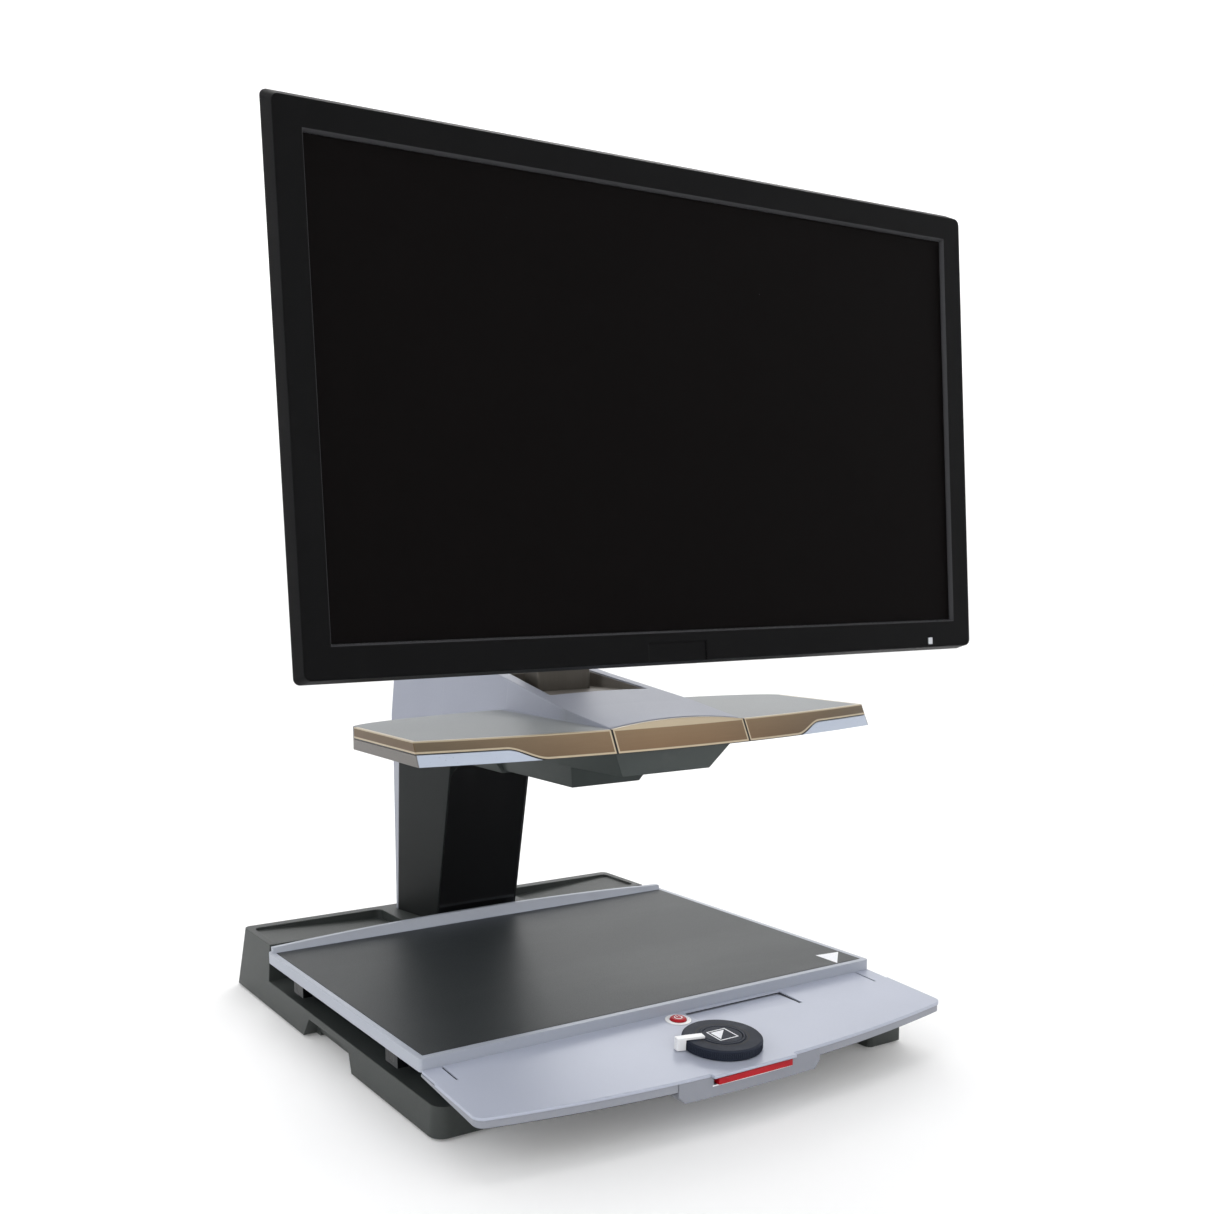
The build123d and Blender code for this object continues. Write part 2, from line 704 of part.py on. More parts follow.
def column_cover():
    """Dark cover on the front and sides of the column."""
    outer = tower(
        column_plan(BLOCK_TOP, COVER_REAR_LOW), BLOCK_TOP, column_plan(COVER_TOP, COVER_REAR_HIGH), COVER_TOP
    )
    inner = tower(
        column_plan(BLOCK_TOP - 1, COVER_REAR_LOW + 1, 4.5),
        BLOCK_TOP - 1,
        column_plan(COVER_TOP + 1, COVER_REAR_HIGH + 1, 4.5),
        COVER_TOP + 1,
    )
    return outer - inner - front_panel_body(0.15)


def front_panel_body(grow=0.0):
    """Glossy panel: a leaning sheet with rounded top corners."""
    half = FRONT_PANEL_HALF + grow
    low = BLOCK_TOP - grow
    high = FRONT_PANEL_TOP + grow
    deep = FRONT_PANEL_THICK + grow
    ahead = grow * 20
    corners = [
        (column_front(low) - ahead, low),
        (column_front(low) + deep, low),
        (column_front(high) + deep, high),
        (column_front(high) - ahead, high),
    ]
    outline = block(-half, half, 200, 400, low, high)
    outline = fillet(outline.edges().filter_by(Axis.Y).group_by(Axis.Z)[-1], 12)
    return prism_x(corners, -half, half) & outline


def column_back_shell():
    """Silver shell behind the column, up to the arm."""
    def plan(start, rear, inset=0.0):
        half = COLUMN_BACK_HALF - inset
        return [
            (-half, start),
            (half, start),
            (half, (start + rear) / 2),
            (half - 6, rear - inset),
            (-half + 6, rear - inset),
            (-half, (start + rear) / 2),
        ]
    outer = tower(
        plan(COVER_REAR_LOW + GAP, SHELL_REAR_LOW), BLOCK_TOP, plan(COVER_REAR_HIGH + GAP, SHELL_REAR_HIGH), COVER_TOP
    )
    inner = tower(
        plan(COVER_REAR_LOW - 2, SHELL_REAR_LOW, WALL),
        BLOCK_TOP - 0.1,
        plan(COVER_REAR_HIGH - 2, SHELL_REAR_HIGH, WALL),
        COVER_TOP + 0.1,
    )
    return outer - inner


def column_post():
    """Welded steel post inside the column, on a foot flange."""
    tube = block(-POST_HALF, POST_HALF, POST_FRONT, POST_REAR, BLOCK_TOP, BEAM_LOW)
    tube -= block(-POST_HALF + 3, POST_HALF - 3, POST_FRONT + 3, POST_REAR - 3, BLOCK_TOP - 1, BEAM_LOW - 4)
    return tube


BEAM_LOW = 250.0


def arm_beam():
    """Steel plate that carries the wing, the camera and the mast."""
    plate = block(-BEAM_HALF, BEAM_HALF, BEAM_FRONT, POST_REAR, BEAM_LOW, BEAM_LOW + BEAM_THICK)
    front = plate.edges().filter_by(is_upright).group_by(Axis.Y)[0]
    return fillet(front, 10)


# ============================ wing and arm ============================

def wing_plan(z, inset, rear_inset):
    """Wing outline at height z: bowed front, straight ends, elliptical rear."""
    lean = WING_LEAN * (WING_TOP - z) / (WING_TOP - WING_UNDER)
    half = WING_HALF - inset
    end = WING_END_FRONT + inset - lean
    middle = WING_MID_FRONT + inset - lean
    rear_half = WING_HALF - rear_inset
    deep = WING_MID_REAR - WING_END_REAR - rear_inset
    front = ThreePointArc((-half, end, z), (0, middle, z), (half, end, z))
    side = Line((half, end, z), (half, WING_END_REAR, z))
    other = Line((-half, WING_END_REAR, z), (-half, end, z))
    rear = Pos(0, WING_END_REAR, z) * EllipticalCenterArc((0, 0), rear_half, deep, 0, arc_size=180)
    steps = []
    if rear_inset != inset:
        steps.append(Line((half, WING_END_REAR, z), (rear_half, WING_END_REAR, z)))
        steps.append(Line((-rear_half, WING_END_REAR, z), (-half, WING_END_REAR, z)))
    return make_face([front, side, *steps, rear, other])


def wing_body(z_low, z_high, inset=0.0, rear_inset=0.0):
    """The wing between two heights."""
    return loft([wing_plan(z_low, inset, rear_inset), wing_plan(z_high, inset, rear_inset)], ruled=True)


def trim_step(grow=0.0):
    """Region under the trim's lower edge near the ends, where the silver lip shows."""
    low = WING_UNDER - 3
    mid = (WING_UNDER + WING_SPLIT) / 2
    top = WING_SPLIT + grow
    start = (TRIM_STEP_IN - 2, WING_UNDER - 1)
    curve = Spline(
        (start[0], -40, start[1]),
        ((TRIM_STEP_IN + TRIM_STEP_OUT) / 2 - grow, -40, mid),
        (TRIM_STEP_OUT - grow, -40, top),
        tangents=((1, 0, 0.15), (1, 0, 0)),
    )
    far = WING_HALF + 20
    rest = Polyline(
        (TRIM_STEP_OUT - grow, -40, top),
        (far, -40, top),
        (far, -40, low),
        (start[0], -40, low),
        (start[0], -40, start[1]),
    )
    return extrude(make_face(curve + rest), amount=WING_END_REAR + 40, dir=(0, 1, 0))


def trim_ring():
    """Outer band of the wing, front and ends, before it is divided."""
    ring = wing_body(WING_UNDER, WING_TOP) - wing_body(WING_UNDER - 1, WING_TOP + 1, TRIM, TRIM)
    return ring - block(-300, 300, WING_END_REAR, 300, 200, 300)


def trim_center():
    """Bronze trim between the two seams, its upper edge arched with the arm."""
    half = TRIM_SEAM_X - GAP
    tall = wing_body(WING_UNDER, WING_TOP + 8) - wing_body(WING_UNDER - 1, WING_TOP + 9, TRIM, TRIM)
    arch = ThreePointArc((-half, -40, WING_TOP), (0, -40, WING_TOP + HUMP_CROWN), (half, -40, WING_TOP))
    low = WING_UNDER - 5
    sides = Polyline((half, -40, WING_TOP), (half, -40, low), (-half, -40, low), (-half, -40, WING_TOP))
    return tall & extrude(make_face(arch + sides), amount=100, dir=(0, 1, 0))


def trim_sides():
    """Bronze trim of the two sides, with the stepped lower edge and the end caps."""
    band = trim_ring() & block(TRIM_SEAM_X + GAP, 300, -40, WING_END_REAR, 200, 300)
    return pair(band - trim_step(GAP))


def wing_lower():
    """Silver lower shell of the wing: floor, lip at each end, lamp windows."""
    inset = TRIM + 0.2
    core = wing_body(WING_UNDER, WING_SPLIT, inset, 0.0)
    body = core - wing_body(WING_UNDER + 2, WING_SPLIT + 1, inset + 2.5, 2.5)
    lips = trim_ring() & both(trim_step(0.0))
    body += lips & block(-300, 300, -40, WING_END_REAR, 200, WING_SPLIT)
    body += both(block(WING_HALF - TRIM - 0.3, WING_HALF - TRIM + 0.1, 40, WING_END_REAR, WING_UNDER, WING_SPLIT))
    body -= block(-57, 57, -30, 200, 200, WING_UNDER + 0.6)
    body -= block(-BEAM_HALF - 1, BEAM_HALF + 1, BEAM_FRONT - 1, 200, 200, 300)
    for x0, x1, y0, y1 in LAMP_WINDOWS:
        body -= block(x0, x1, y0, y1, 200, WING_UNDER + 2.1)
    return body


LAMP_WINDOWS = [(-178.0, -72.0, 62.0, 92.0), (72.0, 178.0, 62.0, 92.0)]


def lamp_diffusers():
    """Two milky covers under the lamps."""
    covers = []
    for x0, x1, y0, y1 in LAMP_WINDOWS:
        covers.append(block(x0 + 0.2, x1 - 0.2, y0 + 0.2, y1 - 0.2, WING_UNDER, WING_UNDER + 1.6))
    return group(covers)


def lamp_boards():
    """Two strips of lamps on their boards."""
    parts = []
    for x0, x1, y0, y1 in LAMP_WINDOWS:
        board = block(x0 - 3, x1 + 3, y0 - 3, y1 + 3, WING_UNDER + 3.4, WING_UNDER + 5.0)
        middle = (y0 + y1) / 2
        for i in range(10):
            x = x0 + (i + 0.5) * (x1 - x0) / 10
            board += block(x - 1.8, x + 1.8, middle - 1.8, middle + 1.8, WING_UNDER + 2.4, WING_UNDER + 3.4)
        for x in (x0 - 1.2, x1 + 1.2):
            board += block(x - 1, x + 1, y0 - 2, y1 + 2, WING_UNDER + 2.0, WING_UNDER + 3.4)
        parts.append(board)
    return group(parts)


def hump_z(y):
    """Height of the arm's top at y."""
    return HUMP_START_Z + HUMP_RISE * y


def arm_section(y, low, low_half, high_half, z=None, crown=0.5):
    """Upright section across the arm, its top edge arched by the crown."""
    top = hump_z(y) if z is None else z
    sides = Polyline((high_half, y, top), (low_half, y, low), (-low_half, y, low), (-high_half, y, top))
    arch = ThreePointArc((-high_half, y, top), (0, y, top + crown), (high_half, y, top))
    return make_face(sides + arch)


def top_cover():
    """Silver cover of the wing and arm, one moulding from the trim to the back of the column."""
    inset = TRIM + 0.2
    body = wing_body(WING_SPLIT + 0.2, WING_TOP, inset, 0.0)
    body -= wing_body(WING_SPLIT, WING_TOP - 2.6, inset + 2.6, 2.6)
    split = WING_SPLIT + 0.2
    nose = WING_MID_FRONT + inset + 3.0
    front = arm_section(nose, split, 57.6, 57.0, WING_TOP + 0.6, HUMP_CROWN)
    shoulder = arm_section(60, split, 58.6, 58.4, None, 1.6)
    body += loft([front, shoulder], ruled=True)
    body += loft([shoulder, arm_section(160, split, 53.0, 48.9)], ruled=True)
    tail_y = column_front(COVER_TOP)
    body += loft([arm_section(160, ARM_UNDER, 53.0, 48.9), arm_section(tail_y, ARM_UNDER, 52.0, 44.0)], ruled=True)
    low = COVER_TOP + GAP
    tail = loft([arm_section(tail_y, low, 52.0, 44.0), arm_section(ARM_REAR, low, 50.0, 42.0, 296)], ruled=True)
    rear_top = tail.edges().filter_by(Axis.X).sort_by(Axis.Z)[-2:].sort_by(Axis.Y)[-1]
    body += fillet(rear_top, 28)
    inner_start = 14
    inner_end = NECK_FRONT - 4
    inner = [
        arm_section(inner_start, WING_SPLIT, 53, 53, hump_z(inner_start) - 3.5),
        arm_section(inner_end, WING_SPLIT, 51, 50, hump_z(inner_end) - 3.5),
    ]
    body -= loft(inner, ruled=True)
    body -= block(-46, 46, NECK_FRONT - 5, NECK_REAR + 4, WING_SPLIT - 30, NECK_FLOOR - 3)
    body -= block(-46, 46, 159.5, 160.5, ARM_UNDER, NECK_FLOOR - 3)
    body -= block(-40, 40, NECK_REAR + 3, tail_y + 4, ARM_UNDER - 1, 284)
    body -= block(-38, 38, tail_y + 3, ARM_REAR - 5, COVER_TOP, 284)
    body -= tower(neck_plan(0), NECK_FLOOR, neck_plan(0), 320)
    body -= block(-MAST_HALF - GAP, MAST_HALF + GAP, MAST_FRONT - GAP, MAST_REAR + GAP, 240, 320)
    return body


def neck_plan(inset):
    """The pocket for the mast in plan, wider in front."""
    front = NECK_FRONT + inset
    rear = NECK_REAR - inset
    wide = 45.5 - inset
    slim = 37.0 - inset
    return [(-wide, front), (wide, front), (slim, rear), (-slim, rear)]


def neck_tray():
    """Warm grey liner of the pocket round the mast's foot, cut off in line with the arm."""
    low = NECK_FLOOR
    body = tower(neck_plan(0.15), low, neck_plan(0.15), 300)
    body -= tower(neck_plan(1.4), low + 2.2, neck_plan(1.4), 301)
    over = [(0, hump_z(0) - 0.8), (300, hump_z(300) - 0.8), (300, 400), (0, 400)]
    body -= prism_x(over, -60, 60)
    return body - block(-MAST_HALF - GAP, MAST_HALF + GAP, MAST_FRONT - GAP, MAST_REAR + GAP, 240, 320)


def arm_under_cover():
    """Dark cover under the arm, between the camera housing and the column."""
    low = 207.0
    front = HOUSE_REAR + GAP
    rear = column_front(ARM_UNDER) - GAP
    plan_low = [(-33, front), (33, front), (33, rear), (-33, rear)]
    plan_high = [(-50, front), (50, front), (50, rear), (-50, rear)]
    outer = tower(plan_low, low, plan_high, ARM_UNDER - GAP)
    inner_low = [(-30, front + 3), (30, front + 3), (30, rear - 3), (-30, rear - 3)]
    inner_high = [(-47, front + 3), (47, front + 3), (47, rear - 3), (-47, rear - 3)]
    return outer - tower(inner_low, low + 3, inner_high, ARM_UNDER + 1)


def housing_plan(front, front_half, rear_half, rear, bend=90.0, inset=0.0):
    """Camera housing in plan: tapered towards the front."""
    return [
        (-front_half + inset, front + inset),
        (front_half - inset, front + inset),
        (rear_half - inset, bend),
        (rear_half - inset, rear - inset),
        (-rear_half + inset, rear - inset),
        (-rear_half + inset, bend),
    ]


def camera_housing():
    """Faceted dark housing under the wing that holds the camera."""
    wing_rear = WING_MID_REAR - 1
    top = WING_UNDER + 0.2
    upper_low = housing_plan(HOUSE_FRONT_LOW, 39, 46, wing_rear)
    upper_high = housing_plan(HOUSE_FRONT_TOP, 53, 56, wing_rear)
    upper = tower(upper_low, HOUSE_STEP_Z, upper_high, top)
    mid_share = (ARM_UNDER - GAP - HOUSE_STEP_Z) / (top - HOUSE_STEP_Z)
    half_mid = 46 + 10 * mid_share
    tail_low = rectangle(46, wing_rear - 1, HOUSE_REAR)
    tail_high = rectangle(half_mid, wing_rear - 1, HOUSE_REAR)
    body = upper + tower(tail_low, HOUSE_STEP_Z, tail_high, ARM_UNDER - GAP)
    box_low = rectangle(31.2, 94, HOUSE_REAR)
    box_high = rectangle(40, 82, HOUSE_REAR)
    body += tower(box_low, HOUSE_BOTTOM, box_high, HOUSE_STEP_Z)
    hollow_low = housing_plan(HOUSE_FRONT_LOW, 39, 46, wing_rear, inset=3.5)
    hollow_high = housing_plan(HOUSE_FRONT_TOP, 53, 56, wing_rear, inset=3.5)
    body -= tower(hollow_low, HOUSE_STEP_Z + 3, hollow_high, top + 1)
    body -= block(-36, 36, wing_rear - 6, HOUSE_REAR - 3.5, HOUSE_STEP_Z + 2, 260)
    lens_low = rectangle(27.5, 98, HOUSE_REAR - 3.5)
    lens_high = rectangle(33, 98, HOUSE_REAR - 3.5)
    body -= tower(lens_low, HOUSE_BOTTOM + 3, lens_high, HOUSE_STEP_Z + 4)
    body -= drum(WINDOW_R, HOUSE_BOTTOM - 1, HOUSE_BOTTOM + 4, 0, LENS_Y)
    return body


def camera_window():
    """Glass window under the lens."""
    return drum(WINDOW_R - 0.1, HOUSE_BOTTOM + 0.4, HOUSE_BOTTOM + 2.4, 0, LENS_Y)


def lens_barrel():
    """Zoom lens, pointing down at the table."""
    barrel = drum(14, HOUSE_BOTTOM + 5, HOUSE_BOTTOM + 12, 0, LENS_Y)
    barrel += drum(12, HOUSE_BOTTOM + 12, HOUSE_BOTTOM + 19, 0, LENS_Y)
    return barrel - drum(10, HOUSE_BOTTOM + 4, HOUSE_BOTTOM + 8, 0, LENS_Y)


def lens_glass():
    """Front element of the lens."""
    return drum(9.9, HOUSE_BOTTOM + 6, HOUSE_BOTTOM + 8, 0, LENS_Y)


def camera_module():
    """Camera block above the lens, hung from the arm's beam."""
    low = HOUSE_BOTTOM + 19
    body = block(-22, 22, LENS_Y - 24, LENS_Y + 30, low, BEAM_LOW - 4)
    return body + block(-14, 14, LENS_Y - 18, LENS_Y + 24, BEAM_LOW - 4, BEAM_LOW)


def mast():
    """Rectangular aluminium mast that the screen slides on."""
    low = BEAM_LOW + BEAM_THICK
    tube = block(-MAST_HALF, MAST_HALF, MAST_FRONT, MAST_REAR, low, MAST_TOP)
    tube = fillet(tube.edges().filter_by(is_upright), 2)
    half = MAST_HALF - MAST_WALL
    return tube - block(-half, half, MAST_FRONT + MAST_WALL, MAST_REAR - MAST_WALL, low + 5, MAST_TOP + 1)


def mast_cap():
    """Plastic cap in the mast's top."""
    cap = block(-MAST_HALF, MAST_HALF, MAST_FRONT, MAST_REAR, MAST_TOP, MAST_TOP + 2.5)
    cap = fillet(cap.edges().filter_by(is_upright), 2)
    inner = MAST_WALL + 0.2
    half = MAST_HALF - inner
    return cap + block(-half, half, MAST_FRONT + inner, MAST_REAR - inner, MAST_TOP - 8, MAST_TOP)


# ============================ screen ============================

def on_screen(shape):
    """Puts a shape drawn upright behind y = 0 into the leaning screen."""
    return Pos(0, 0, SCREEN_Z) * Rot(-SCREEN_TILT, 0, 0) * shape


def pivot():
    """Tilt axis (y, z) in the design frame."""
    turn = math.radians(-SCREEN_TILT)
    y = PIVOT_DEPTH * math.cos(turn) + PIVOT_BELOW * math.sin(turn)
    z = PIVOT_DEPTH * math.sin(turn) - PIVOT_BELOW * math.cos(turn)
    return y, SCREEN_Z + z


def screen_face(half, low, high, y):
    """Upright rectangle at depth y."""
    return make_face(Polyline((-half, y, low), (half, y, low), (half, y, high), (-half, y, high), close=True))


def screen_loft(a, b):
    """Straight loft between two upright rectangles (half, low, high, depth)."""
    return loft([screen_face(*a), screen_face(*b)], ruled=True)


def runs_back(edge):
    """True for an edge that runs from front to back."""
    return abs(edge.tangent_at(0.5).Y) > 0.6


def screen_bezel():
    """Front frame of the screen with a sloping inner edge."""
    outer = screen_loft((FACE_HALF, FACE_LOW, FACE_TOP, 0), (SHELL_HALF, SHELL_LOW, SHELL_TOP, BEZEL_DEPTH))
    outer = fillet(outer.edges().filter_by(runs_back), SCREEN_CORNER)
    lip = 1.4
    window = screen_loft(
        (OPENING_HALF, OPENING_LOW, OPENING_TOP, -0.01),
        (OPENING_HALF - lip, OPENING_LOW + lip, OPENING_TOP - lip, PANEL_RECESS),
    )
    body = outer - window
    rebate = block(-lcd_half() - 0.3, lcd_half() + 0.3, PANEL_RECESS, 30, lcd_low() - 0.3, lcd_high() + 0.3)
    body -= rebate
    body -= block(-35, 15, -1, 1.0, FACE_LOW - 5, -158)
    return on_screen(body - screen_button_body(0.25, 4.4))


def lcd_half():
    """Half width of the display module."""
    return OPENING_HALF + 6


def lcd_low():
    """Lower edge of the display module."""
    return OPENING_LOW - 6


def lcd_high():
    """Upper edge of the display module."""
    return OPENING_TOP + 6


def lcd_panel():
    """Display module behind the bezel."""
    return on_screen(
        block(-lcd_half(), lcd_half(), PANEL_RECESS, PANEL_RECESS + LCD_THICK, lcd_low(), lcd_high())
    )


def screen_rear_shell():
    """Rear shell of the screen, deeper in the middle."""
    front = BEZEL_DEPTH + 0.3
    inset = 10.0
    rim = screen_loft(
        (SHELL_HALF, SHELL_LOW, SHELL_TOP, front),
        (SHELL_HALF - inset, SHELL_LOW + inset, SHELL_TOP - inset, SHELL_DEPTH),
    )
    rim = fillet(rim.edges().filter_by(runs_back), SCREEN_CORNER)
    bulge = screen_loft(
        (BULGE_HALF, -BULGE_HIGH, BULGE_HIGH, SHELL_DEPTH - 1),
        (BULGE_HALF - 30, -BULGE_HIGH + 30, BULGE_HIGH - 30, BULGE_DEPTH),
    )
    wall = 2.5
    hollow = screen_loft(
        (SHELL_HALF - wall, SHELL_LOW + wall, SHELL_TOP - wall, front - 1),
        (SHELL_HALF - inset - wall, SHELL_LOW + inset + wall, SHELL_TOP - inset - wall, SHELL_DEPTH - wall),
    )
    deep = screen_loft(
        (BULGE_HALF - 4, -BULGE_HIGH + 4, BULGE_HIGH - 4, SHELL_DEPTH - 4),
        (BULGE_HALF - 33, -BULGE_HIGH + 33, BULGE_HIGH - 33, BULGE_DEPTH - wall),
    )
    body = rim + bulge - hollow - deep
    for i in range(14):
        x = -130 + i * 20
        body -= block(x - 6, x + 6, SHELL_DEPTH - 8, BULGE_DEPTH, BULGE_HIGH - 3, BULGE_HIGH - 0.5)
    return on_screen(body)


def screen_board():
    """Screen controller board inside the rear shell."""
    return on_screen(block(-90, 90, SHELL_DEPTH - 6, SHELL_DEPTH - 4.4, -60, 60))


def screen_button_body(grow=0.0, deep=3.0):
    """Outline of the small button at the lower right of the bezel."""
    return block(236.8 - grow, 241.2 + grow, -0.8, deep, -169.0 - grow, -163.8 + grow)


def screen_button():
    """Small power button of the screen."""
    return on_screen(screen_button_body())


def tilt_bracket():
    """Steel plate on the screen's back with two ears for the tilt pin."""
    y = BULGE_DEPTH
    plate = block(-55, 55, y, y + 3, -55, 55)
    plate = fillet(plate.edges().filter_by(Axis.Y), 6)
    ear = block(17, 22, y + 3, PIVOT_DEPTH, -PIVOT_BELOW - 12, -PIVOT_BELOW + 12)
    ear += bar_x(12, 17, 22, PIVOT_DEPTH, -PIVOT_BELOW)
    ear -= bar_x(PIN_R + SEAT, 16, 23, PIVOT_DEPTH, -PIVOT_BELOW)
    return on_screen(plate + both(ear))


def tilt_pin():
    """Pin through the ears and the swivel head."""
    return on_screen(bar_x(PIN_R, -25, 25, PIVOT_DEPTH, -PIVOT_BELOW))


def bracket_screws():
    """Four screws on the square pattern of the bracket."""
    y = BULGE_DEPTH + 3
    heads = [bar_y(4, y, y + 2.4, x, z) for x in (-50, 50) for z in (-50, 50)]
    return on_screen(group(heads))


def swivel_head():
    """Head that turns on the sleeve's boss and holds the tilt pin."""
    y, z = pivot()
    half_high = 24.0
    cheek = SWIVEL_Y - SWIVEL_BOSS_R - GAP
    body = block(-16, 16, y - 9, cheek, z - half_high, z + half_high)
    body = fillet(body.edges().filter_by(Axis.X).group_by(Axis.Y)[0], 6)
    plate = 5.0
    boss_half = half_high - plate - GAP
    for low, high in ((z - half_high, z - boss_half - GAP), (z + boss_half + GAP, z + half_high)):
        body += block(-16, 16, cheek - 1, SWIVEL_Y, low, high) + drum(16, low, high, 0, SWIVEL_Y)
    body += drum(SWIVEL_R, z - half_high, z + half_high, 0, SWIVEL_Y)
    return body - bar_x(PIN_R + RUN, -17, 17, y, z)


def lift_sleeve():
    """Sleeve that slides on the mast, with the boss that the head turns on."""
    y, z = pivot()
    play = SLEEVE_PLAY
    wall = SLEEVE_WALL
    body = block(
        -MAST_HALF - wall, MAST_HALF + wall, MAST_FRONT - wall - 1, MAST_REAR + wall, SLEEVE_LOW, SLEEVE_HIGH
    )
    body = fillet(body.edges().filter_by(is_upright), 5)
    boss_half = 24.0 - 5.0 - GAP
    neck = block(-11, 11, SWIVEL_Y, MAST_FRONT - wall, z - boss_half, z + boss_half)
    body += neck + drum(SWIVEL_BOSS_R, z - boss_half, z + boss_half, 0, SWIVEL_Y)
    body -= drum(SWIVEL_R + RUN, z - 30, z + 30, 0, SWIVEL_Y)
    half = MAST_HALF + play
    return body - block(-half, half, MAST_FRONT - play, MAST_REAR + play, SLEEVE_LOW - 1, SLEEVE_HIGH + 1)


def lift_knob():
    """Clamping knob at the back of the sleeve."""
    middle = (SLEEVE_LOW + SLEEVE_HIGH) / 2
    start = MAST_REAR + SLEEVE_WALL
    knob = bar_y(5, start, start + 4, 0, middle) + bar_y(13, start + 4, start + 16, 0, middle)
    return fillet(knob.edges().group_by(Axis.Y)[-1], 2)


NODES = {
    "base_frame": base_frame,
    "base_plate": base_plate,
    "front_foot_block": front_foot_block,
    "rubber_feet": rubber_feet,
    "rear_sockets": rear_sockets,
    "main_board": main_board,
    "power_supply": power_supply,
    "y_bearings": y_bearings,
    "column_post": column_post,
    "column_cover": column_cover,
    "column_front_panel": front_panel_body,
    "column_back_shell": column_back_shell,
    "arm_beam": arm_beam,
    "top_cover": top_cover,
    "neck_tray": neck_tray,
    "wing_lower": wing_lower,
    "trim_center": trim_center,
    "trim_sides": trim_sides,
    "lamp_diffusers": lamp_diffusers,
    "lamp_boards": lamp_boards,
    "arm_under_cover": arm_under_cover,
    "camera_housing": camera_housing,
    "camera_window": camera_window,
    "camera_module": camera_module,
    "lens_barrel": lens_barrel,
    "lens_glass": lens_glass,
    "mast": mast,
    "mast_cap": mast_cap,
    "y_carriage": y_carriage,
    "y_rods": y_rods,
    "x_bearings": x_bearings,
    "x_rods": x_rods,
    "x_rod_brackets": x_rod_brackets,
    "table_frame": table_frame,
    "reading_mat": reading_mat,
    "panel_top": panel_top,
    "panel_under": panel_under,
    "panel_foil": panel_foil,
    "control_housing": control_housing,
    "control_board": control_board,
    "dial_spindle": dial_spindle,
    "zoom_dial": zoom_dial,
    "lever_hub": lever_hub,
    "mode_lever": mode_lever,
    "center_button": center_button,
    "power_ring": power_ring,
    "power_switch": power_switch,
    "power_button": power_button,
    "brake_bar": brake_bar,
    "lift_sleeve": lift_sleeve,
    "lift_knob": lift_knob,
    "swivel_head": swivel_head,
    "tilt_bracket": tilt_bracket,
    "tilt_pin": tilt_pin,
    "bracket_screws": bracket_screws,
    "screen_bezel": screen_bezel,
    "lcd_panel": lcd_panel,
    "screen_rear_shell": screen_rear_shell,
    "screen_board": screen_board,
    "screen_button": screen_button,
}

os.makedirs("parts", exist_ok=True)
for node, make in NODES.items():
    export_step(Pos(0, -ORIGIN_Y, 0) * make(), "parts/" + node + ".step")
print("nodes", len(NODES), "origin y", ORIGIN_Y, "tilt axis", pivot())
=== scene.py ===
import json
import math

import bmesh
import bpy
from mathutils import Matrix, Vector


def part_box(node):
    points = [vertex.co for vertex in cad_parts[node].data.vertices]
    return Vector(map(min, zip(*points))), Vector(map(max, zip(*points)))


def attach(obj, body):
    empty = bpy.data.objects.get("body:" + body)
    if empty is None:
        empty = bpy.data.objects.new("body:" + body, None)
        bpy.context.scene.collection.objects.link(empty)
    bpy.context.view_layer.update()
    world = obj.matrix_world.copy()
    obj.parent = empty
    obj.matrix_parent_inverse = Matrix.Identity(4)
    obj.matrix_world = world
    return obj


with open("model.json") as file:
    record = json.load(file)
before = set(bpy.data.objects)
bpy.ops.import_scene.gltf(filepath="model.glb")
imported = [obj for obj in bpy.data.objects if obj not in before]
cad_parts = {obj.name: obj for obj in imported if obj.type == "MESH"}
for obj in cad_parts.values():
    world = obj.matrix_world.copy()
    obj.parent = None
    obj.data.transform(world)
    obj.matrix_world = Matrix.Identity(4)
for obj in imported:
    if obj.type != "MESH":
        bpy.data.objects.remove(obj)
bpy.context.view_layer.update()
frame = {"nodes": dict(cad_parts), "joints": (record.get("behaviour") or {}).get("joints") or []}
nodes = frame["nodes"]


# The base is a dark injection-moulded tray with a fine spark-eroded texture.
# The right rail is lengthened by a separate block, and rubber pads are glued underneath.

class Value:
    """A number or colour on its way through a node tree; arithmetic on it adds Math nodes."""

    def __init__(self, graph, socket):
        self.graph = graph
        self.socket = socket

    def math(self, operation, *others):
        sockets = dict(enumerate((self, *others)))
        return self.graph.add("ShaderNodeMath", {"operation": operation}, sockets)

    def __add__(self, other):
        return self.math("ADD", other)

    def __sub__(self, other):
        return self.math("SUBTRACT", other)

    def __rsub__(self, other):
        return self.math("MULTIPLY", -1.0).math("ADD", other)

    def __mul__(self, other):
        return self.math("MULTIPLY", other)

    def __abs__(self):
        return self.math("ABSOLUTE")

    __radd__ = __add__
    __rmul__ = __mul__


class Graph:
    """A node tree, for a material or for geometry."""

    def __init__(self, tree):
        self.tree = tree

    def add(self, kind, settings=None, sockets=None, out=0):
        """Adds a node, sets it up, feeds its sockets and returns one output."""
        node = self.tree.nodes.new(kind)
        for key, value in (settings or {}).items():
            if key == "stops":
                ramp = node.color_ramp.elements
                while len(ramp) < len(value):
                    ramp.new(0.5)
                for element, (position, colour) in zip(ramp, value):
                    element.position = position
                    element.color = colour
            else:
                setattr(node, key, value)
        for key, value in (sockets or {}).items():
            if isinstance(value, Value):
                self.tree.links.new(value.socket, node.inputs[key])
            else:
                node.inputs[key].default_value = value
        return Value(self, node.outputs[out]) if len(node.outputs) else None


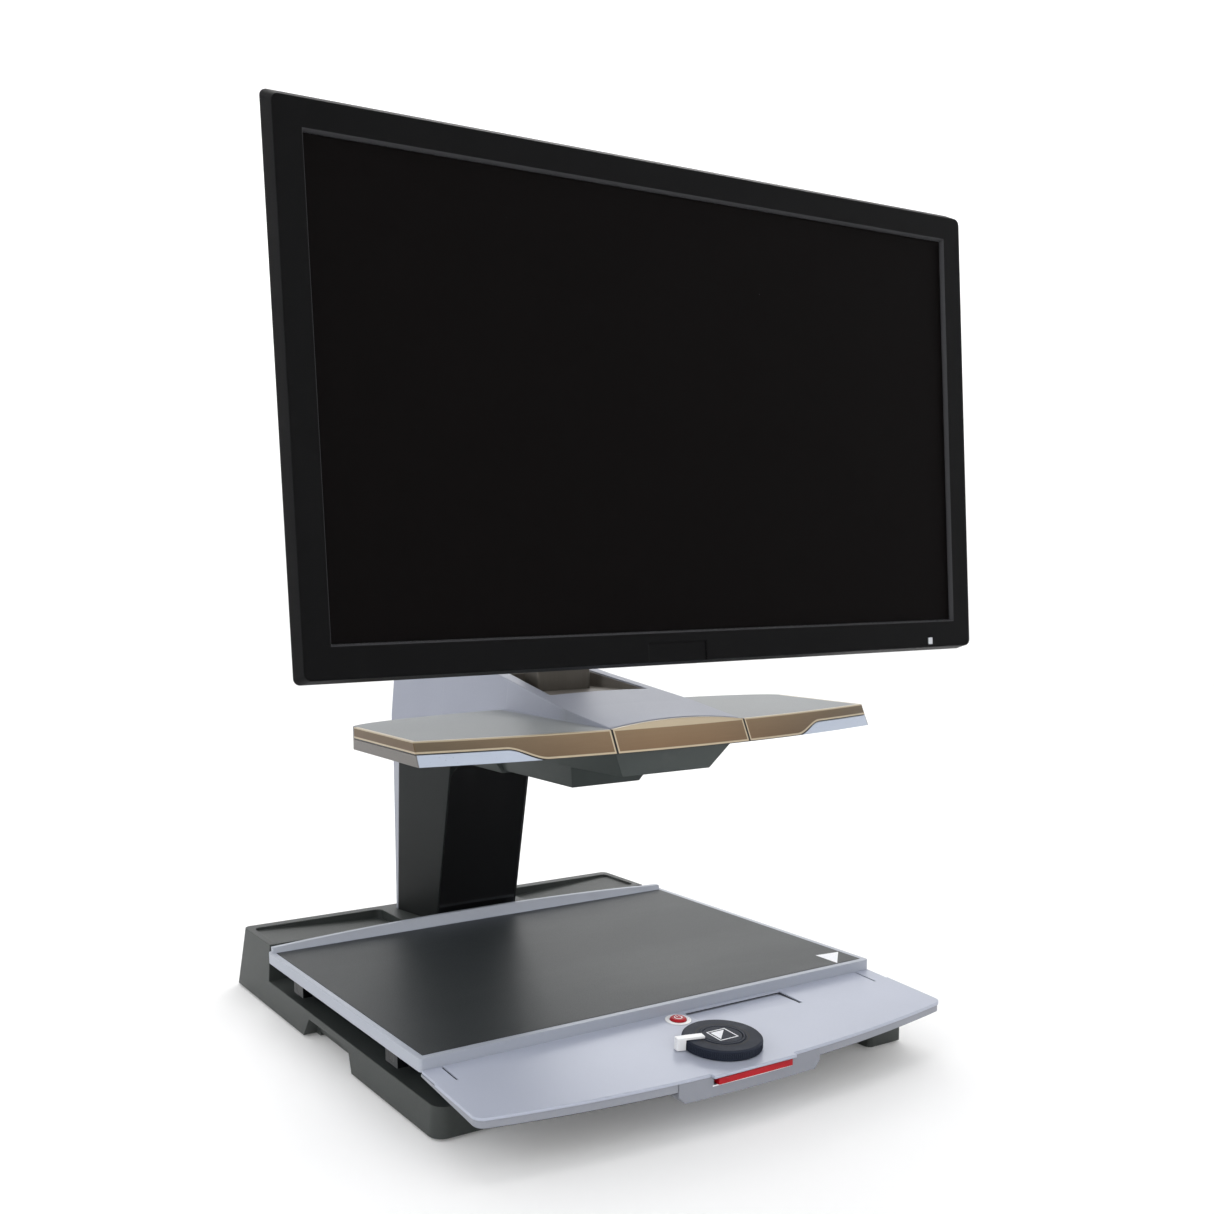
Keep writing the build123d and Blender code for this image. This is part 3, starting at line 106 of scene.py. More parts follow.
class Finish(Graph):
    """One surface finish, built as a material from solid patterns in the piece's own space."""

    def __init__(self, name):
        self.material = bpy.data.materials.new(name)
        self.material.use_nodes = True
        super().__init__(self.material.node_tree)
        self.tree.nodes.clear()
        self.place = self.add("ShaderNodeTexCoord", out=3)

    def along(self, x=1.0, y=1.0, z=1.0):
        """Object space stretched by a factor along each axis."""
        return self.add("ShaderNodeMapping", {}, {"Vector": self.place, "Scale": (x, y, z)})

    def noise(self, scale, detail=3.0, rough=0.55, place=None):
        """Cloudy pattern between 0 and 1."""
        sockets = {"Vector": place or self.place, "Scale": scale, "Detail": detail, "Roughness": rough}
        return self.add("ShaderNodeTexNoise", {}, sockets)

    def cells(self, scale, feature="F1", place=None):
        """Distance to the nearest of scattered points."""
        sockets = {"Vector": place or self.place, "Scale": scale}
        return self.add("ShaderNodeTexVoronoi", {"feature": feature}, sockets)

    def axis(self, letter):
        """One coordinate in metres."""
        return self.add("ShaderNodeSeparateXYZ", {}, {"Vector": self.place}, out="XYZ".index(letter))

    def ramp(self, value, low, high):
        """Value rescaled so that low becomes 0 and high becomes 1, and kept between them."""
        return self.add("ShaderNodeMapRange", {"clamp": True}, {0: value, 1: low, 2: high})

    def mix(self, share, first, second):
        """Colour between two colours."""
        sockets = {"Factor": share, 6: first, 7: second}
        return self.add("ShaderNodeMix", {"data_type": "RGBA"}, sockets, out=2)

    def shade(self, sockets, relief=None, height=0.0, rounding=0.0):
        """Closes the material: relief is a pattern raised by height metres, on edges rounded off."""
        sockets = dict(sockets)
        normal = None
        if rounding:
            normal = self.add("ShaderNodeBevel", {"samples": 4}, {"Radius": rounding})
        if relief is not None:
            bump = {"Height": relief, "Distance": height, "Strength": 1.0}
            if normal is not None:
                bump["Normal"] = normal
            normal = self.add("ShaderNodeBump", {}, bump)
        if normal is not None:
            sockets["Normal"] = normal
        surface = self.add("ShaderNodeBsdfPrincipled", {}, sockets)
        self.add("ShaderNodeOutputMaterial", {}, {"Surface": surface})
        return self.material


def tint(red, green, blue):
    """A display colour as the light it stands for."""
    light = [((c / 255 + 0.055) / 1.055) ** 2.4 if c > 10 else c / 255 / 12.92 for c in (red, green, blue)]
    return (*light, 1.0)


def dress(material, *names):
    """Gives CAD nodes a finish."""
    for name in names:
        slots = nodes[name].data.materials
        slots.clear()
        slots.append(material)


def textured_plastic(name, colour, lighter, grain, rounding, rough=0.5, height=0.00006):
    """Moulded plastic with a spark-eroded grain, a little uneven in tone and gloss."""
    finish = Finish(name)
    fine = finish.noise(grain, 2.0)
    cloud = finish.noise(9.0, 4.0)
    dust = finish.ramp(finish.noise(45.0, 6.0, 0.7), 0.55, 0.8)
    shade = finish.mix(finish.ramp(cloud, 0.3, 0.7), colour, lighter)
    shade = finish.mix(dust * 0.05, shade, tint(150, 148, 140))
    gloss = rough + (fine - 0.5) * 0.18 + (cloud - 0.5) * 0.12
    sockets = {"Base Color": shade, "Roughness": gloss, "Specular IOR Level": 0.4}
    return finish.shade(sockets, fine, height, rounding)


base_plastic = textured_plastic("base_plastic", tint(44, 48, 47), tint(51, 55, 53), 2600.0, 0.0012)
dress(base_plastic, "base_frame", "front_foot_block")

rubber = Finish("pad_rubber")
pores = rubber.noise(1500.0, 3.0)
rubber_shade = rubber.mix(rubber.ramp(rubber.noise(60.0), 0.4, 0.7), tint(24, 24, 24), tint(44, 43, 41))
rubber_sockets = {"Base Color": rubber_shade, "Roughness": 0.75 + (pores - 0.5) * 0.2}
dress(rubber.shade(rubber_sockets, pores, 0.0001, 0.0004), "rubber_feet")


# Zinc-plated sheet steel: the plate that closes the rear block, the post in the column,
# the beam in the arm and the tilt bracket. Punched and plated, so it is clear with fine rolling lines.

def rolled_metal(name, colour, darker, lines, rough, rounding):
    """Metal with fine lines along one axis and faint plating clouds."""
    finish = Finish(name)
    streak = finish.noise(1.0, 4.0, 0.6, finish.along(*lines))
    cloud = finish.noise(14.0, 4.0)
    shade = finish.mix(finish.ramp(cloud, 0.35, 0.7), colour, darker)
    gloss = rough + (streak - 0.5) * 0.22 + (cloud - 0.5) * 0.1
    sockets = {"Base Color": shade, "Metallic": 1.0, "Roughness": gloss}
    return finish.shade(sockets, streak, 0.00002, rounding)


plated_steel = rolled_metal(
    "plated_steel", tint(190, 192, 196), tint(160, 163, 168), (30, 900, 900), 0.34, 0.0005
)
dress(plated_steel, "base_plate", "column_post", "arm_beam", "tilt_bracket", "bracket_screws")

SCREW_HEAD = 0.0034
SCREW_SINK = 0.0006
SCREW_RISE = 0.0014
HEAD_TAPER = 0.72
CROSS_LONG = 1.1
CROSS_WIDE = 0.26


def screw_tree(name, columns, rows):
    """Geometry nodes for a grid of pan-head screws with a cross recess, in the XY plane."""
    tree = bpy.data.node_groups.new(name, "GeometryNodeTree")
    tree.interface.new_socket("Geometry", in_out="OUTPUT", socket_type="NodeSocketGeometry")
    for label, kind in (
        ("Width", "Float"),
        ("Depth", "Float"),
        ("Head Radius", "Float"),
        ("Finish", "Material"),
    ):
        tree.interface.new_socket(label, in_out="INPUT", socket_type="NodeSocket" + kind)
    graph = Graph(tree)
    entry = tree.nodes.new("NodeGroupInput")
    width, depth, radius, finish = (Value(graph, entry.outputs[i]) for i in range(4))
    counts = {"Size X": width, "Size Y": depth, "Vertices X": columns, "Vertices Y": rows}
    grid = graph.add("GeometryNodeMeshGrid", {}, counts)
    head = graph.add(
        "GeometryNodeMeshCone",
        {},
        {"Vertices": 24, "Radius Top": radius * HEAD_TAPER, "Radius Bottom": radius, "Depth": SCREW_RISE},
    )
    bar = graph.add("GeometryNodeMeshCube")
    cross = graph.add("GeometryNodeJoinGeometry")
    for x_share, y_share in ((CROSS_LONG, CROSS_WIDE), (CROSS_WIDE, CROSS_LONG)):
        sides = {"X": radius * x_share, "Y": radius * y_share, "Z": SCREW_SINK}
        size = graph.add("ShaderNodeCombineXYZ", {}, sides)
        sockets = {"Geometry": bar, "Scale": size, "Translation": (0, 0, SCREW_RISE)}
        slit = graph.add("GeometryNodeTransform", {}, sockets)
        tree.links.new(slit.socket, cross.socket.node.inputs[0])
    solids = {"Mesh 1": head, "Mesh 2": cross}
    screw = graph.add("GeometryNodeMeshBoolean", {"operation": "DIFFERENCE"}, solids)
    placed = graph.add("GeometryNodeInstanceOnPoints", {}, {"Points": grid, "Instance": screw})
    real = graph.add("GeometryNodeRealizeInstances", {}, {"Geometry": placed})
    done = graph.add("GeometryNodeSetMaterial", {}, {"Geometry": real, "Material": finish})
    leave = tree.nodes.new("NodeGroupOutput")
    tree.links.new(done.socket, leave.inputs[0])
    return tree


def grown(name, tree, values, where, body):
    """Runs a geometry tree once, keeps its mesh in place and fixes it to a body."""
    maker = bpy.data.objects.new(name + "_maker", bpy.data.meshes.new(name + "_maker"))
    bpy.context.scene.collection.objects.link(maker)
    modifier = maker.modifiers.new("grow", "NODES")
    modifier.node_group = tree
    for item in tree.interface.items_tree:
        if item.item_type == "SOCKET" and item.in_out == "INPUT":
            modifier[item.identifier] = values[item.name]
    evaluated = maker.evaluated_get(bpy.context.evaluated_depsgraph_get())
    mesh = bpy.data.meshes.new_from_object(evaluated)
    bpy.data.objects.remove(maker)
    mesh.transform(where)
    mesh.name = name
    piece = bpy.data.objects.new(name, mesh)
    bpy.context.scene.collection.objects.link(piece)
    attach(piece, body)


plate_low, plate_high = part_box("base_plate")
plate_middle = Matrix.Translation((0, (plate_low.y + plate_high.y) / 2, plate_low.z))
under = plate_middle @ Matrix.Rotation(math.pi, 4, "X")
PLATE_SPREAD_X = 0.94
PLATE_SPREAD_Y = 0.8
grown(
    "plate_screws",
    screw_tree("screw_grid_base", 4, 2),
    {
        "Width": (plate_high.x - plate_low.x) * PLATE_SPREAD_X,
        "Depth": (plate_high.y - plate_low.y) * PLATE_SPREAD_Y,
        "Head Radius": SCREW_HEAD,
        "Finish": plated_steel,
    },
    under,
    "base",
)


# Sockets in the rear face, the power supply and the circuit boards inside the covers.
# The boards are green glass-fibre laminate with soldered parts.

socket_plastic = textured_plastic("socket_plastic", tint(26, 26, 27), tint(34, 34, 35), 1800.0, 0.0004, 0.4)
dress(socket_plastic, "rear_sockets", "mast_cap")
dress(textured_plastic("dark_foil", tint(28, 28, 28), tint(36, 36, 35), 1500.0, 0.0004, 0.6), "panel_foil")
switch_plastic = textured_plastic(
    "bearing_plastic", tint(34, 34, 36), tint(42, 42, 44), 1500.0, 0.0003, 0.45
)
dress(switch_plastic, "dial_spindle", "power_switch")

board = Finish("circuit_board")
track = board.ramp(board.cells(320.0, "DISTANCE_TO_EDGE"), 0.02, 0.05)
pads = board.ramp(board.cells(420.0), 0.18, 0.12)
board_shade = board.mix(track, tint(20, 92, 58), tint(12, 66, 42))
board_shade = board.mix(pads, board_shade, tint(190, 176, 120))
board_sockets = {"Base Color": board_shade, "Roughness": 0.4 - pads * 0.12, "Metallic": pads * 0.8}
board_finish = board.shade(board_sockets, track, 0.00004, 0.0002)
dress(board_finish, "main_board", "control_board", "screen_board", "lamp_boards")

anodised = rolled_metal(
    "clear_anodised", tint(196, 198, 202), tint(176, 179, 184), (700, 700, 12), 0.38, 0.0006
)
dress(anodised, "power_supply", "screen_button")

ROD_END = 0.189
ground_steel = Finish("ground_rod")
turned = ground_steel.noise(1.0, 4.0, 0.6, ground_steel.along(9000, 300, 300))
# Beyond the table the rod ends are painted near black and dull: painted shade, matching the black finish
# under the table.
rod_end_shade = ground_steel.ramp(abs(ground_steel.axis("X")), ROD_END, ROD_END + 0.001)
rod_shade = ground_steel.mix(turned, tint(206, 208, 212), tint(190, 193, 198))
rod_sockets = {
    "Base Color": ground_steel.mix(rod_end_shade, rod_shade, tint(16, 16, 17)),
    "Metallic": 1.0 - rod_end_shade * 0.9,
    "Roughness": 0.12 + turned * 0.12 + rod_end_shade * 0.3,
}
dress(ground_steel.shade(rod_sockets, turned, 0.000004), "x_rods", "y_rods", "tilt_pin")


# The column: a dark textured cover round the front and sides, a glossy sheet let into its front,
# and a silver shell behind. Both covers clip over the steel post.

column_cover = Finish("column_cover_plastic")
column_grain = column_cover.noise(2400.0, 2.0)
# The cover is painted darker towards the bottom of the column: painted shadow low on the cover.
bottom_shadow_share = column_cover.ramp(column_cover.axis("Z"), 0.05, 0.16)
column_shade = column_cover.mix(bottom_shadow_share, tint(14, 16, 16), tint(22, 26, 26))
column_cloud = column_cover.noise(8.0, 3.0)
column_shade = column_cover.mix(column_cloud * 0.1, column_shade, tint(44, 48, 49))
column_sockets = {
    "Base Color": column_shade,
    "Roughness": 0.5 + (column_grain - 0.5) * 0.2,
    "Specular IOR Level": 0.16,
}
dress(column_cover.shade(column_sockets, column_grain, 0.00005, 0.0015), "column_cover")

gloss_sheet = Finish("gloss_sheet")
smear = gloss_sheet.noise(22.0, 5.0, 0.6, gloss_sheet.along(1, 1, 0.35))
gloss_sockets = {
    "Base Color": tint(14, 14, 15),
    "Roughness": 0.12 + gloss_sheet.ramp(smear, 0.45, 0.75) * 0.16,
    "Specular IOR Level": 0.4,
    "Coat Weight": 0.3,
    "Coat Roughness": 0.05,
}
dress(gloss_sheet.shade(gloss_sockets, smear, 0.00003, 0.0006), "column_front_panel")


def satin_paint(name, colour, shadow, rounding, rough=0.36, sparkle=0.25, metal=0.25):
    """Sprayed satin paint with a fine metal flake and a soft orange-peel surface."""
    finish = Finish(name)
    peel = finish.noise(520.0, 2.0)
    flake = finish.cells(5200.0)
    cloud = finish.noise(5.0, 3.0)
    shade = finish.mix(finish.ramp(cloud, 0.3, 0.75), colour, shadow)
    shade = finish.mix(finish.ramp(flake, 0.25, 0.05) * sparkle, shade, tint(240, 242, 248))
    sockets = {
        "Base Color": shade,
        "Metallic": metal,
        "Roughness": rough + (peel - 0.5) * 0.12 + (cloud - 0.5) * 0.08,
        "Coat Weight": 0.15,
        "Coat Roughness": 0.25,
    }
    return finish.shade(sockets, peel, 0.00002, rounding)


dress(satin_paint("silver_paint", tint(150, 154, 165), tint(142, 146, 157), 0.0016), "column_back_shell")


# The wing and the arm: one silver cover over a lower shell whose lip shows at both ends, and bronze
# anodised trim in three lengths along the front, brushed, with thin painted highlights along its edges and
# seams, dark seams, and a painted shadow line along its lower edge.
# Frosted covers close the two lamp windows underneath.

LIP_END = 0.1984
lip = Finish("lip_paint")
lip_peel = lip.noise(520.0, 2.0)
# The lip's end faces are painted dark brown-grey: painted shade on the ends of the silver lip.
lip_end_shade = lip.ramp(abs(lip.axis("X")), LIP_END, LIP_END + 0.0006)
lip_shade = lip.mix(lip.noise(5.0, 3.0), tint(178, 187, 202), tint(166, 175, 191))
lip_sockets = {
    "Base Color": lip.mix(lip_end_shade * 0.9, lip_shade, tint(84, 76, 64)),
    "Metallic": 0.2,
    "Roughness": 0.3 + (lip_peel - 0.5) * 0.12,
}
dress(lip.shade(lip_sockets, lip_peel, 0.00002, 0.0008), "wing_lower")

ARM_HALF = 0.0586
cover = Finish("cover_paint")
cover_peel = cover.noise(520.0, 2.0)
cover_flake = cover.ramp(cover.cells(5200.0), 0.25, 0.05)
cover_cloud = cover.noise(5.0, 3.0)
# The wing beside the arm is painted greyer than the lavender arm, though both are the one silver cover:
# painted light for how differently the two surfaces catch the light.
beside_arm = cover.ramp(abs(cover.axis("X")), ARM_HALF - 0.001, ARM_HALF + 0.001)
arm_shade = cover.mix(cover.ramp(cover_cloud, 0.3, 0.75), tint(146, 150, 163), tint(138, 142, 155))
wing_shade = cover.mix(cover.ramp(cover_cloud, 0.3, 0.75), tint(133, 137, 139), tint(126, 130, 132))
cover_shade = cover.mix(beside_arm, arm_shade, wing_shade)
cover_shade = cover.mix(cover_flake * 0.15, cover_shade, tint(240, 242, 248))
cover_sockets = {
    "Base Color": cover_shade,
    "Metallic": 0.05,
    "Roughness": 0.5 + (cover_peel - 0.5) * 0.1 + (cover_cloud - 0.5) * 0.08,
    "Specular IOR Level": 0.35,
}
dress(cover.shade(cover_sockets, cover_peel, 0.00002, 0.0016), "top_cover")

SEAM_X = 0.0585
TRIM_LOW, TRIM_HIGH = (corner.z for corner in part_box("trim_sides"))
SPLIT_HEIGHT = 0.2573
STEP_START = 0.110
STEP_END = 0.139
TRIM_END = 0.1986
HIGHLIGHT_HALF = 0.0018
TOP_HIGHLIGHT = 0.0007
EDGE_HIGHLIGHT = 0.0015
SEAM_HALF = 0.0007
GAP_SHADE_LINE = 0.0004
bronze = Finish("bronze_anodised")
brush = bronze.noise(1.0, 3.0, 0.5, bronze.along(6, 900, 900))
from_middle = abs(bronze.axis("X"))
height = bronze.axis("Z")
# The trim is painted lighter towards its top edge and warmer in the middle, darker and greyer towards the
# ends: painted sheen and reflection. The brush streaks mixed in are the metal's own.
sheen = bronze.ramp(height, TRIM_LOW, TRIM_HIGH)
bronze_shade = bronze.mix(bronze.ramp(from_middle, 0.19, 0.02), tint(76, 66, 54), tint(110, 88, 66))
bronze_shade = bronze.mix(sheen * 0.16 + brush * 0.06, bronze_shade, tint(168, 150, 124))
# The end faces of the trim are painted darker brown: painted shade on the sides.
end_face_shade = bronze.ramp(from_middle, TRIM_END, TRIM_END + 0.0004)
bronze_shade = bronze.mix(end_face_shade * 0.7, bronze_shade, tint(96, 76, 52))
step_rise = bronze.add(
    "ShaderNodeMapRange",
    {"interpolation_type": "SMOOTHSTEP"},
    {0: from_middle, 1: STEP_START, 2: STEP_END, 4: SPLIT_HEIGHT - TRIM_LOW},
)
over_edge = height - TRIM_LOW - step_rise
to_seam = abs(from_middle - SEAM_X)
# Cream lines at the seams, along the top edge and along the lower edge: painted highlights where the edges
# catch the light.
edge_highlights = bronze.ramp(to_seam, HIGHLIGHT_HALF + 0.0004, HIGHLIGHT_HALF)
edge_highlights = edge_highlights + bronze.ramp(height, TRIM_HIGH - TOP_HIGHLIGHT - 0.0003, TRIM_HIGH - TOP_HIGHLIGHT)
edge_highlights = edge_highlights + bronze.ramp(over_edge, EDGE_HIGHLIGHT + 0.0004, EDGE_HIGHLIGHT)
edge_highlights = edge_highlights.math("MINIMUM", 1.0)
bronze_shade = bronze.mix(edge_highlights * 0.75, bronze_shade, tint(190, 176, 150))
# Dark lines at the seams, where the trim lengths meet, and a painted shadow line along the lower edge, in
# the gap above the lip.
seam_and_gap_shade_line = bronze.ramp(to_seam, SEAM_HALF + 0.0003, SEAM_HALF)
seam_and_gap_shade_line = seam_and_gap_shade_line + bronze.ramp(over_edge, GAP_SHADE_LINE + 0.0002, GAP_SHADE_LINE)
bronze_shade = bronze.mix(seam_and_gap_shade_line.math("MINIMUM", 1.0), bronze_shade, tint(16, 15, 14))
bronze_sockets = {
    "Base Color": bronze_shade,
    "Metallic": 0.8 - edge_highlights * 0.5,
    "Roughness": 0.32 + (brush - 0.5) * 0.08,
}
dress(bronze.shade(bronze_sockets, brush, 0.000003, 0.0009), "trim_center", "trim_sides")

WING_FRONT = -0.1613
WING_BOW_R = 0.8294
WING_LEAN = 0.008
GASKET_HALF = 0.00028
GASKET_DEEP = 0.0024
gasket = bpy.data.meshes.new("seam_gaskets")
gasket_shape = bmesh.new()
seam_y = WING_FRONT + WING_BOW_R - math.sqrt(WING_BOW_R ** 2 - SEAM_X ** 2) + 0.0002
for side in (-1, 1):
    corners = []
    for x in (side * SEAM_X - GASKET_HALF, side * SEAM_X + GASKET_HALF):
        for z, lean in ((TRIM_LOW + 0.0001, WING_LEAN), (TRIM_HIGH - 0.0001, 0.0)):
            for deep in (0.0, GASKET_DEEP):
                corners.append(gasket_shape.verts.new((x, seam_y - lean + deep, z)))
    for loop in ((0, 2, 3, 1), (4, 5, 7, 6), (0, 1, 5, 4), (2, 6, 7, 3), (0, 4, 6, 2), (1, 3, 7, 5)):
        gasket_shape.faces.new([corners[i] for i in loop])
bmesh.ops.recalc_face_normals(gasket_shape, faces=gasket_shape.faces)
gasket_shape.to_mesh(gasket)
gasket_shape.free()
gasket.materials.append(nodes["rubber_feet"].data.materials[0])
seam_gaskets = bpy.data.objects.new("seam_gaskets", gasket)
bpy.context.scene.collection.objects.link(seam_gaskets)
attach(seam_gaskets, "base")

milky = Finish("milky_cover")
prism = milky.cells(900.0)
milky_sockets = {
    "Base Color": milky.mix(milky.ramp(prism, 0.1, 0.5), tint(238, 238, 232), tint(222, 224, 222)),
    "Roughness": 0.32 + prism * 0.2,
    "Subsurface Weight": 0.2,
    "Subsurface Radius": (0.003, 0.003, 0.003),
}
dress(milky.shade(milky_sockets, prism, 0.00012, 0.0003), "lamp_diffusers")


# The camera housing and the cover behind it: dark olive mouldings screwed up under the wing.
# A glass window covers the lens, which hangs from the beam with the camera.

housing_plastic = textured_plastic(
    "housing_plastic", tint(54, 60, 58), tint(61, 67, 65), 2300.0, 0.001, 0.5, 0.00005
)
dress(housing_plastic, "camera_housing", "arm_under_cover")

glass = Finish("lens_glass")
haze = glass.noise(60.0, 4.0)
glass_sockets = {
    "Base Color": (0.86, 0.9, 0.95, 1.0),
    "Roughness": 0.02 + glass.ramp(haze, 0.5, 0.8) * 0.08,
    "Transmission Weight": 0.9,
    "IOR": 1.5,
    "Coat Weight": 0.5,
}
dress(glass.shade(glass_sockets, haze, 0.000002), "camera_window", "lens_glass")

black_anodised_and_painted_shade = rolled_metal(
    "black_anodised_and_painted_shade", tint(36, 37, 40), tint(28, 29, 31), (800, 800, 30), 0.36, 0.0008
)
dress(black_anodised_and_painted_shade, "camera_module", "lens_barrel", "lift_sleeve", "swivel_head")
# The bearings, rod brackets and carriage under the table get the same black finish: painted shade for the
# shadow under the table.
dress(black_anodised_and_painted_shade, "x_bearings", "y_bearings", "x_rod_brackets", "y_carriage")


# The screen's mast stands in a pocket of the arm lined with a warm grey tray, and a clamping
# knob with a ribbed rim holds the sleeve at its height.

mast_metal = rolled_metal(
    "mast_anodised", tint(112, 108, 102), tint(100, 96, 90), (700, 700, 12), 0.5, 0.0006
)
dress(mast_metal, "mast")
tray_plastic = textured_plastic(
    "tray_plastic", tint(124, 119, 112), tint(112, 107, 101), 2000.0, 0.0006, 0.45
)
dress(tray_plastic, "neck_tray")

knob_plastic = textured_plastic("knob_plastic", tint(30, 30, 31), tint(38, 38, 39), 1900.0, 0.0006, 0.45)
dress(knob_plastic, "lift_knob")

KNOB_RIBS = 28
KNOB_RIB_LENGTH = 0.0075
KNOB_RIB_RADIUS = 0.0007
KNOB_RIM_DEPTH = 0.0065


def rib_tree(name):
    """Geometry nodes for small upright ribs round a circle in the XY plane."""
    tree = bpy.data.node_groups.new(name, "GeometryNodeTree")
    tree.interface.new_socket("Geometry", in_out="OUTPUT", socket_type="NodeSocketGeometry")
    for label, kind in (
        ("Radius", "Float"),
        ("Length", "Float"),
        ("Rib Width", "Float"),
        ("Count", "Int"),
        ("Finish", "Material"),
    ):
        tree.interface.new_socket(label, in_out="INPUT", socket_type="NodeSocket" + kind)
    graph = Graph(tree)
    entry = tree.nodes.new("NodeGroupInput")
    radius, length, width, count, finish = (Value(graph, entry.outputs[i]) for i in range(5))
    ring = graph.add("GeometryNodeMeshCircle", {}, {"Vertices": count, "Radius": radius})
    rib = graph.add("GeometryNodeMeshCylinder", {}, {"Vertices": 8, "Radius": width, "Depth": length})
    placed = graph.add("GeometryNodeInstanceOnPoints", {}, {"Points": ring, "Instance": rib})
    real = graph.add("GeometryNodeRealizeInstances", {}, {"Geometry": placed})
    done = graph.add("GeometryNodeSetMaterial", {}, {"Geometry": real, "Material": finish})
    leave = tree.nodes.new("NodeGroupOutput")
    tree.links.new(done.socket, leave.inputs[0])
    return tree


knob_low, knob_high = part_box("lift_knob")
knob_radius = (knob_high.x - knob_low.x) / 2
knob_middle = Vector((0, knob_high.y - KNOB_RIM_DEPTH, (knob_low.z + knob_high.z) / 2))
grown(
    "knob_ribs",
    rib_tree("knob_ribs"),
    {
        "Radius": knob_radius,
        "Length": KNOB_RIB_LENGTH,
        "Rib Width": KNOB_RIB_RADIUS,
        "Count": KNOB_RIBS,
        "Finish": knob_plastic,
    },
    Matrix.Translation(knob_middle) @ Matrix.Rotation(math.pi / 2, 4, "X"),
    "lift",
)


# The reading table: a painted moulding with an arched stop behind, and a dark satin mat
# bonded into its bed. A white triangle is printed on the mat's front right corner.

table_paint = satin_paint("table_paint", tint(160, 165, 176), tint(152, 157, 168), 0.0012, 0.42, 0.1, 0.1)
dress(table_paint, "table_frame")

mat = Finish("mat_sheet")
pebble = mat.cells(1300.0, "SMOOTH_F1")
mat_cloud = mat.noise(7.0, 4.0)
rubbed = mat.ramp(mat.noise(3.0, 5.0, 0.6, mat.along(1.0, 3.0, 1.0)), 0.5, 0.75)
mat_shade = mat.mix(mat.ramp(mat_cloud, 0.35, 0.7), tint(32, 36, 38), tint(37, 41, 43))
mat_sockets = {
    "Base Color": mat_shade,
    "Roughness": 0.42 + (pebble - 0.4) * 0.12 - rubbed * 0.05,
    "Specular IOR Level": 0.22,
}
dress(mat.shade(mat_sockets, pebble, 0.00004, 0.0003), "reading_mat")

print_white = Finish("printed_white")
ink = print_white.noise(700.0, 3.0)
ink_sockets = {
    "Base Color": print_white.mix(
        print_white.ramp(ink, 0.4, 0.75), tint(238, 239, 242), tint(214, 216, 222)
    ),
    "Roughness": 0.42 + (ink - 0.5) * 0.15,
}
white_ink = print_white.shade(ink_sockets, ink, 0.000008)

INK_LIFT = 0.00008


def printed(name, loops, where, body, material):
    """A thin printed mark: flat outlines filled in the XY plane, then put in place."""
    mesh = bpy.data.meshes.new(name)
    shape = bmesh.new()
    for loop in loops:
        shape.faces.new([shape.verts.new((x, y, INK_LIFT)) for x, y in loop])
    shape.to_mesh(mesh)
    shape.free()
    mesh.transform(where)
    mesh.materials.append(material)
    mark = bpy.data.objects.new(name, mesh)
    bpy.context.scene.collection.objects.link(mark)
    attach(mark, body)


def ring_quads(outer, inner, start=0.0, turn=2 * math.pi, steps=48):
    """Small faces that make a flat ring or part of one."""
    quads = []
    for i in range(steps):
        a = start + turn * i / steps
        b = start + turn * (i + 1) / steps
        quads.append(
            [
                (outer * math.cos(a), outer * math.sin(a)),
                (outer * math.cos(b), outer * math.sin(b)),
                (inner * math.cos(b), inner * math.sin(b)),
                (inner * math.cos(a), inner * math.sin(a)),
            ]
        )
    return quads


def bar_quad(x0, x1, y0, y1):
    """One flat rectangle."""
    return [(x0, y0), (x1, y0), (x1, y1), (x0, y1)]


mat_low, mat_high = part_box("reading_mat")
MARK_INSET_X = 0.0245
MARK_INSET_Y = 0.0005
triangle = [(0.0, 0.0), (0.0225, 0.0225), (0.0, 0.0255)]
mark_corner = Matrix.Translation((mat_high.x - MARK_INSET_X, mat_low.y + MARK_INSET_Y, mat_high.z))
printed("mat_mark", [triangle], mark_corner, "table", white_ink)


# The control panel: a painted upper half and a lower half that meet in a fine seam, with a grey
# painted housing under the middle for the dial's bearing and the brake. Thin grooves with dark strips
# in them as painted shadow, and light lines along the brake slot's rims as painted highlights, mark its
# faces.

panel_paint = satin_paint("panel_paint", tint(173, 178, 193), tint(165, 170, 185), 0.0011, 0.4, 0.08, 0.08)
dress(panel_paint, "panel_top")
under_paint = satin_paint(
    "panel_under_paint", tint(138, 141, 150), tint(130, 133, 142), 0.0009, 0.45, 0.1, 0.08
)
dress(under_paint, "panel_under")
housing_paint = satin_paint(
    "housing_paint", tint(132, 135, 144), tint(124, 127, 136), 0.001, 0.45, 0.1, 0.08
)
dress(housing_paint, "control_housing")

PANEL_SLOPE = math.radians(3.5)
GROOVE_DEEP = 0.0009
GROOVE_NEAR_X = 0.012
GROOVE_FAR_X = 0.105
GROOVE_BACK = -0.0033
GROOVE_BEND = -0.0048
GROOVE_FRONT = -0.0293
GROOVE_LEG = 0.003
END_GROOVE_X = 0.188
END_GROOVE_HALF = 0.0008
END_GROOVE_FRONT = -0.0233
END_GROOVE_BACK = -0.0013
panel_low, panel_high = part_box("panel_top")
panel_edge = Vector((0.0, panel_high.y, panel_high.z))
panel_place = Matrix.Translation(panel_edge) @ Matrix.Rotation(PANEL_SLOPE, 4, "X")
groove_bottom = panel_place @ Matrix.Translation((0, 0, -GROOVE_DEEP))
